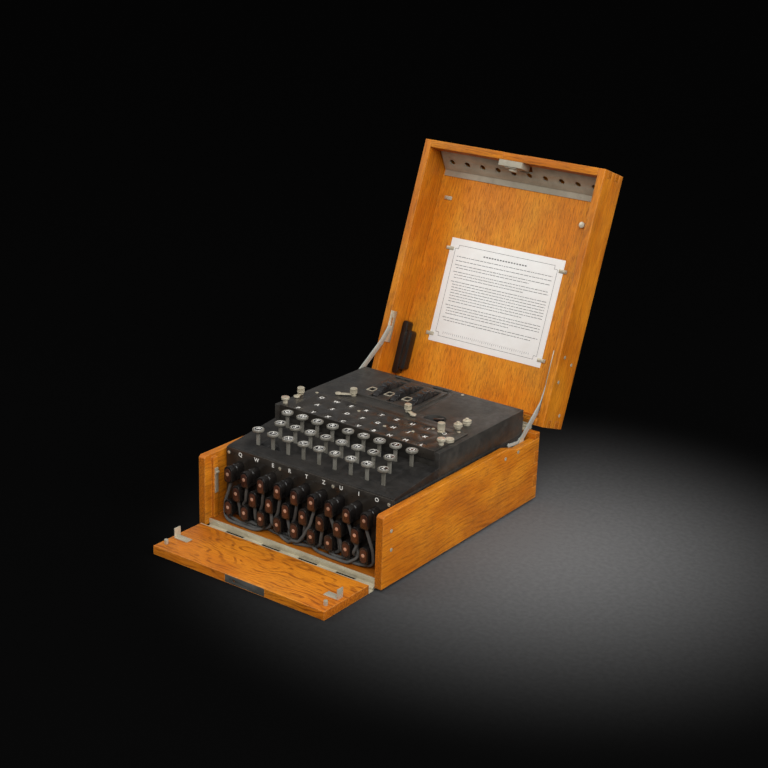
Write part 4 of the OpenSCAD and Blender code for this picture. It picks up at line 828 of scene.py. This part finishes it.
def makeKey():
    ring = turned("keyRing", [(3.3, -5), (5.2, -4.5), (6.4, -3.5), (7.5, -2.7), (7.5, -0.5), (7.15, -0.05),
                              (6.5, 0.0), (6.15, -0.35), (6.15, -0.8)], 40)
    bevel(ring, 0.12, 2, 25)
    disc = turned("keyDisc", [(6.1, -0.8), (6.1, -0.45), (5.6, -0.28), (3.0, -0.2)], 40)
    bevel(disc, 0.05, 1, 25)
    bpy.ops.mesh.primitive_torus_add(major_radius=5.35, minor_radius=0.16, major_segments=40,
                                     minor_segments=6, location=(0, 0, -0.22))
    line = bpy.context.object
    bpy.ops.object.transform_apply()
    return ring, paint(disc, hard["bakelite"]), paint(line, hard["lettering"])


keyRing, keyDisc, keyPrint = makeKey()
for letter, x, y in rowPlaces(keyShape):
    slope = math.tan(math.radians(keyShape["slope"]))
    top = keyShape["plateZ"] + (y - keyShape["plateY"]) * slope + keyShape["rise"]
    place = at((x, y, top))
    node = "key_" + letter.lower()
    half, thin = keyShape["stemWidth"] / 2, keyShape["stemThick"] / 2
    stem = block("stem", (x - half, y - thin, keyShape["stemFoot"]), (x + half, y + thin, top - 3))
    bevel(stem, 0.25)
    ring = join("keyRing" + letter, [copyTo(keyRing, place), stem])
    settle(ring, node, [node], "keyMetal")
    mark = lettering("mark", letter, keyShape["letter"], at((x, y, top - 0.19)), bold=keyShape["bold"])
    paint(mark, hard["lettering"])
    face = join("keyFace" + letter, [copyTo(keyDisc, place), copyTo(keyPrint, place), mark])
    settle(face, node)
for pattern in (keyRing, keyDisc, keyPrint):
    drop(pattern)
print("keys done")


# lamps: a letter under each window
lampShape = {"pitch": 23.8, "rowPitch": 24, "firstRow": -34, "letterZ": 129.22, "letter": 8.2, "bold": 0.14}
marks = [lettering("mark", letter, lampShape["letter"], at((x, y, lampShape["letterZ"])),
                   bold=lampShape["bold"]) for letter, x, y in rowPlaces(lampShape)]
settle(join("lampLetters", marks), "case", (), "lettering")
print("lamps done")


# knobs, terminals and latches
def makeScrew(radius, height):
    head = turned("screw", [(radius, -0.3), (radius, height * 0.6), (radius * 0.82, height * 0.92),
                            (radius * 0.4, height)], 24)
    slot = block("slot", (-radius * 1.2, -radius * 0.12, height * 0.45),
                 (radius * 1.2, radius * 0.12, height * 2))
    pick(head)
    cut = head.modifiers.new("slot", "BOOLEAN")
    cut.operation = "DIFFERENCE"
    cut.object = slot
    cut.solver = "EXACT"
    bpy.ops.object.modifier_apply(modifier=cut.name)
    bpy.ops.object.shade_smooth_by_angle(angle=math.radians(35))
    drop(slot)
    return head


def makeLatch(turn, reach):
    low, high = 1.5, 2.7
    foot = turned("foot", [(3.4, 0.1), (3.4, high), (2.6, high), (2.6, 3.7), (4.3, 3.7), (4.8, 4.2),
                           (4.8, 9.9), (4.1, 10.6), (2.4, 10.6)], 36)
    knurl(foot, 4.2, 9.9, 4.5, 0.28, 0.14)
    arm = bevel(block("arm", (0, -2.8, low), (reach, 2.8, high)), 0.3)
    end = bevel(turned("armEnd", [(4, low + 0.02), (4, high + 0.5), (3.6, high + 0.8), (1.4, high + 0.8),
                                  (1.2, high + 0.5)], 32), 0.08, 1, 40)
    end.data.transform(at((reach, 0, 0)))
    latch = join("latch", [bevel(foot, 0.08, 1, 40), arm, end])
    latch.data.transform(Matrix.Rotation(math.radians(turn), 4, "Z"))
    return latch


for name, node, body, place, turn, reach in (
        ("latchLeft", "cover_latch_left", "latch_left", (-69, 47), 213, 20),
        ("latchRight", "cover_latch_right", "latch_right", (18, 46), -32, 17),
        ("latchPanel", "panel_latch", "panel_latch_lever", (-122.6, 5), -75, 13)):
    latch = makeLatch(turn, reach)
    latch.data.transform(at((*place, deck["top"])))
    settle(join(name, [latch]), body, [node], "nickel")

terminal = [(4.2, 0), (4.2, 2.4), (5.1, 2.4), (5.6, 2.9), (5.6, 5.9), (5.1, 6.4), (2.2, 6.4), (2.2, 8.7),
            (1.9, 9)]
button = [(3.2, 0), (3.2, 4.9), (4.9, 4.9), (5.3, 5.3), (5.3, 8), (4.9, 8.4)]
buttonPlaces = [(-117, -33, deck["lampTop"]), (114, -20, deck["lampTop"])]
tall = [(4.8, 0), (4.8, 0.9), (2.9, 1.2), (2.9, 3), (4.3, 3), (4.8, 3.5), (4.8, 11.3), (4.1, 12), (2.4, 12)]
disc = [(5.6, 0), (5.6, 3.4), (5.1, 4), (2.4, 4), (2.2, 3.6)]


def makeKnob(profile, place, grooves=()):
    knob = turned("knob", profile, 36)
    if grooves:
        knurl(knob, *grooves)
    bevel(knob, 0.08, 1, 40)
    knob.data.transform(at(place))
    return knob


terminalGrooves, tallGrooves = (2.9, 5.9, 5.3, 0.25, 0.12), (3.5, 11.3, 4.5, 0.28, 0.14)
fittings = [makeKnob(terminal, (98, 40, deck["top"]), terminalGrooves),
            makeKnob(terminal, (100, 57, deck["top"]), terminalGrooves),
            *(makeKnob(button, place) for place in buttonPlaces),
            makeKnob(tall, (90, 15, deck["lampTop"]), tallGrooves),
            makeKnob(disc, (116, -5, deck["lampTop"]))]
screw = makeScrew(2.1, 0.8)
screwPlaces = [(x, y, deck["lampTop"]) for x, y in ((-109.7, 22.1), (-28.6, 5), (26.8, -15.9), (63.6, -7.4),
                                                    (77.7, 16), (107.8, 27.3))]
screwPlaces.append((37, 142, deck["top"]))


def turnedScrew(matrix):
    # each screw stopped at its own angle
    return copyTo(screw, matrix @ Matrix.Rotation(random.uniform(0, 3), 4, "Z"))


screws = [turnedScrew(at(place)) for place in screwPlaces]
settle(join("deckFittings", [*fittings, *screws]), "case", ["terminals"], "nickel")
dots = []
for x, y, z in buttonPlaces:
    bpy.ops.mesh.primitive_torus_add(major_radius=3.5, minor_radius=0.9, major_segments=36, minor_segments=10)
    dot = bpy.context.object
    dot.data.transform(at((x, y, z + button[-1][1] - 0.25)) @ Matrix.Diagonal((1, 1, 0.3, 1)))
    bpy.ops.object.shade_smooth()
    dots.append(dot)
settle(join("redDots", dots), "case", (), "redPaint")

# screws that hold the plug panel, seen from the front
panelScrews = [turnedScrew(at((x, plugShape["panel"] - 0.6, plugShape["screwZ"])) @ upright)
               for x in plugShape["screwsX"]]
settle(join("panelScrews", panelScrews), "case", (), "nickel")
drop(screw)
print("deck fittings done")

# pale frames round the cover's number windows
windowShape = {"left": -19, "width": 8, "front": 72, "back": 82, "rim": 1.6, "low": 2.4, "high": 3.2}


def rotorX(k):
    return rotorShape["middleX"] + rotorShape["pitch"] * (k - 1)


frames = []
for k in range(3):
    rim, front, back = windowShape["rim"], windowShape["front"], windowShape["back"]
    left = rotorX(k) + windowShape["left"]
    right = left + windowShape["width"]
    for low, high in (((left - rim, front - rim), (left, back + rim)),
                      ((right, front - rim), (right + rim, back + rim)),
                      ((left, front - rim), (right, front)), ((left, back), (right, back + rim))):
        frames.append(bevel(block("frame", (*low, deck["top"] + windowShape["low"]),
                                  (*high, deck["top"] + windowShape["high"])), 0.25))
settle(join("windowFrames", frames), "cover", (), "nickel")

# numbers on the rotors' rings, seen through the cover's windows
ringNumbers = []
for i in range(26):
    angle = math.radians(i * 360 / 26 + 28)
    turn = Matrix.Rotation(angle, 4, "X") @ at((0, 0, rotorShape["ringRadius"]))
    ringNumbers.append(lettering("number", f"{i + 1:02d}", 4.6, turn, 0.03))
numbers = join("numbers", ringNumbers)
for k, body in enumerate(("rotor_1", "rotor_2", "rotor_3")):
    place = at((rotorX(k) + rotorShape["ringX"], rotorShape["y"], rotorShape["z"]))
    ring = copyTo(numbers, place @ Matrix.Rotation(math.radians(40 * k), 4, "X"))
    settle(join(f"rotorNumbers{k + 1}", [ring]), body, (), "lettering")
drop(numbers)
print("rotors done")

# instruction sheet: a border and rows of plain dashes in place of words
sheetShape = {"halfWidth": 90.5, "front": -48, "back": 98, "border": 9, "notch": 5, "linePitch": 3.9,
              "paragraphs": (1, 1, 2, 3, 8, 4, 2), "inkBack": 144.52, "inkFace": 144.44,
              "titlePitch": 4.4, "titleLeft": -34.4, "titleWide": 2.8, "tickPitch": 3.2}


def stroke(x0, y0, x1, y1):
    return block("stroke", (min(x0, x1), min(y0, y1), sheetShape["inkFace"]),
                 (max(x0, x1), max(y0, y1), sheetShape["inkBack"]))


def sized(width, height, x, y):
    return Matrix(((width, 0, 0, x), (0, height, 0, y), (0, 0, 1, 0), (0, 0, 0, 1)))


def drawSheet(shape):
    strokes = []
    edge, notch, thin = shape["border"], shape["notch"], 0.5
    left, right = -shape["halfWidth"] + edge, shape["halfWidth"] - edge
    front, back = shape["front"] + edge, shape["back"] - edge
    for x in (left, right):
        strokes.append(stroke(x - thin / 2, front + notch, x + thin / 2, back - notch))
    for y in (front, back):
        strokes.append(stroke(left + notch, y - thin / 2, right - notch, y + thin / 2))
    for x, sx in ((left, 1), (right, -1)):
        for y, sy in ((front, 1), (back, -1)):
            strokes.append(stroke(x, y + sy * notch - thin / 2, x + sx * notch, y + sy * notch + thin / 2))
            strokes.append(stroke(x + sx * notch - thin / 2, y, x + sx * notch + thin / 2, y + sy * notch))
    dash = stroke(0, 0, 1, 1)
    for i in range(16):
        x = i * shape["titlePitch"] + shape["titleLeft"]
        strokes.append(stroke(x, front + 8, x + shape["titleWide"], front + 9.6))
    y = front + 15
    for count in shape["paragraphs"]:
        for row in range(count):
            x = left + (5 if row == 0 else 8)
            last = right - (5 if row < count - 1 or count == 1 else random.uniform(15, 70))
            while x < last:
                length = min(random.uniform(1.8, 7.5), last - x)
                if length > 0.8:
                    strokes.append(copyTo(dash, sized(length, 0.75, x, y)))
                x += length + 1.0
            y += shape["linePitch"]
        y += 1.9
    for i in range(44):
        x = left + 12 + i * shape["tickPitch"]
        strokes.append(copyTo(dash, sized(0.45, 2.6 if i % 5 else 3.8, x, back - 7)))
    drop(dash)
    sheet = join("sheetMarks", strokes)
    sheet.data.transform(lidTurn())
    settle(sheet, "lid", (), "ink")


drawSheet(sheetShape)
print("sheet done")

# studio: a dark room with a pool of light on the floor, as in the photo
# pool and dark are painted into the floor's colour: a painted pool of light round poolPlace, fading to
# painted dark by poolWidth
studio = {"sky": 0.62, "mirrored": 0.2, "backdrop": 0.0, "key": 28.0, "fill": 11.0, "side": 16.0,
          "pool": (0.14, 0.14, 0.14), "dark": (0.002, 0.002, 0.002), "poolPlace": (-0.2, -0.06, 0),
          "poolWidth": 0.52}
bpy.ops.mesh.primitive_plane_add(size=16, location=(0, 0, -0.0003))
floor = bpy.context.object
floor.name = "floor"
floorFinish, floorTree, floorShader, floorWhere = newFinish("floorPaintedLightPool")
# painted pool of light: the floor's own colour is brightest round the object and falls to near black further
# out
poolSpot = put(floorTree, "Mapping", {"Vector": floorWhere["Object"],
                                      "Location": studio["poolPlace"]}).outputs[0]
away = put(floorTree, "VectorMath", {0: poolSpot}, operation="LENGTH").outputs["Value"]
lit = calc(floorTree, "POWER", between(floorTree, away, studio["poolWidth"], 0.0), 1.6)
speckle = between(floorTree, noise(floorTree, floorWhere["Object"], 160.0), 0.2, 0.8, 0.9, 1.1)
lit = times(floorTree, lit, speckle)
floorColour = mixColour(floorTree, lit, rgba(studio["dark"]), rgba(studio["pool"]))
connect(floorTree, floorShader, Base_Color=floorColour)
floorShader.inputs["Roughness"].default_value = 0.75
floorShader.inputs["Specular IOR Level"].default_value = 0.0
paint(floor, floorFinish)

sky = bpy.data.worlds.new("studio")
scene.world = sky
sky.use_nodes = True
skyTree = sky.node_tree
background = skyTree.nodes["Background"]
background.inputs["Color"].default_value = (1, 1, 1, 1)
rays = put(skyTree, "LightPath").outputs
mirrored = calc(skyTree, "MAXIMUM", rays["Is Glossy Ray"], rays["Is Transmission Ray"])
strength = put(skyTree, "MapRange", {"Value": mirrored, "To Min": studio["sky"],
                                     "To Max": studio["mirrored"]})
strength = put(skyTree, "MapRange", {"Value": rays["Is Camera Ray"], "To Min": strength.outputs[0],
                                     "To Max": studio["backdrop"]})
skyTree.links.new(strength.outputs[0], background.inputs["Strength"])


def addLamp(name, place, target, size, power):
    bpy.ops.object.light_add(type="AREA", location=place)
    lamp = bpy.context.object
    lamp.name = name
    lamp.data.shape = "SQUARE"
    lamp.data.size = size
    lamp.data.energy = power
    lamp.rotation_euler = (Vector(target) - Vector(place)).to_track_quat("-Z", "Y").to_euler()


aim = (0, 0, 0.15)
addLamp("keyLamp", (1.1, -1.5, 1.7), aim, 1.1, studio["key"])
addLamp("sideLamp", (2.0, 0.1, 1.0), aim, 0.9, studio["side"])
addLamp("fillLamp", (-1.6, -1.2, 1.6), aim, 1.4, studio["fill"])
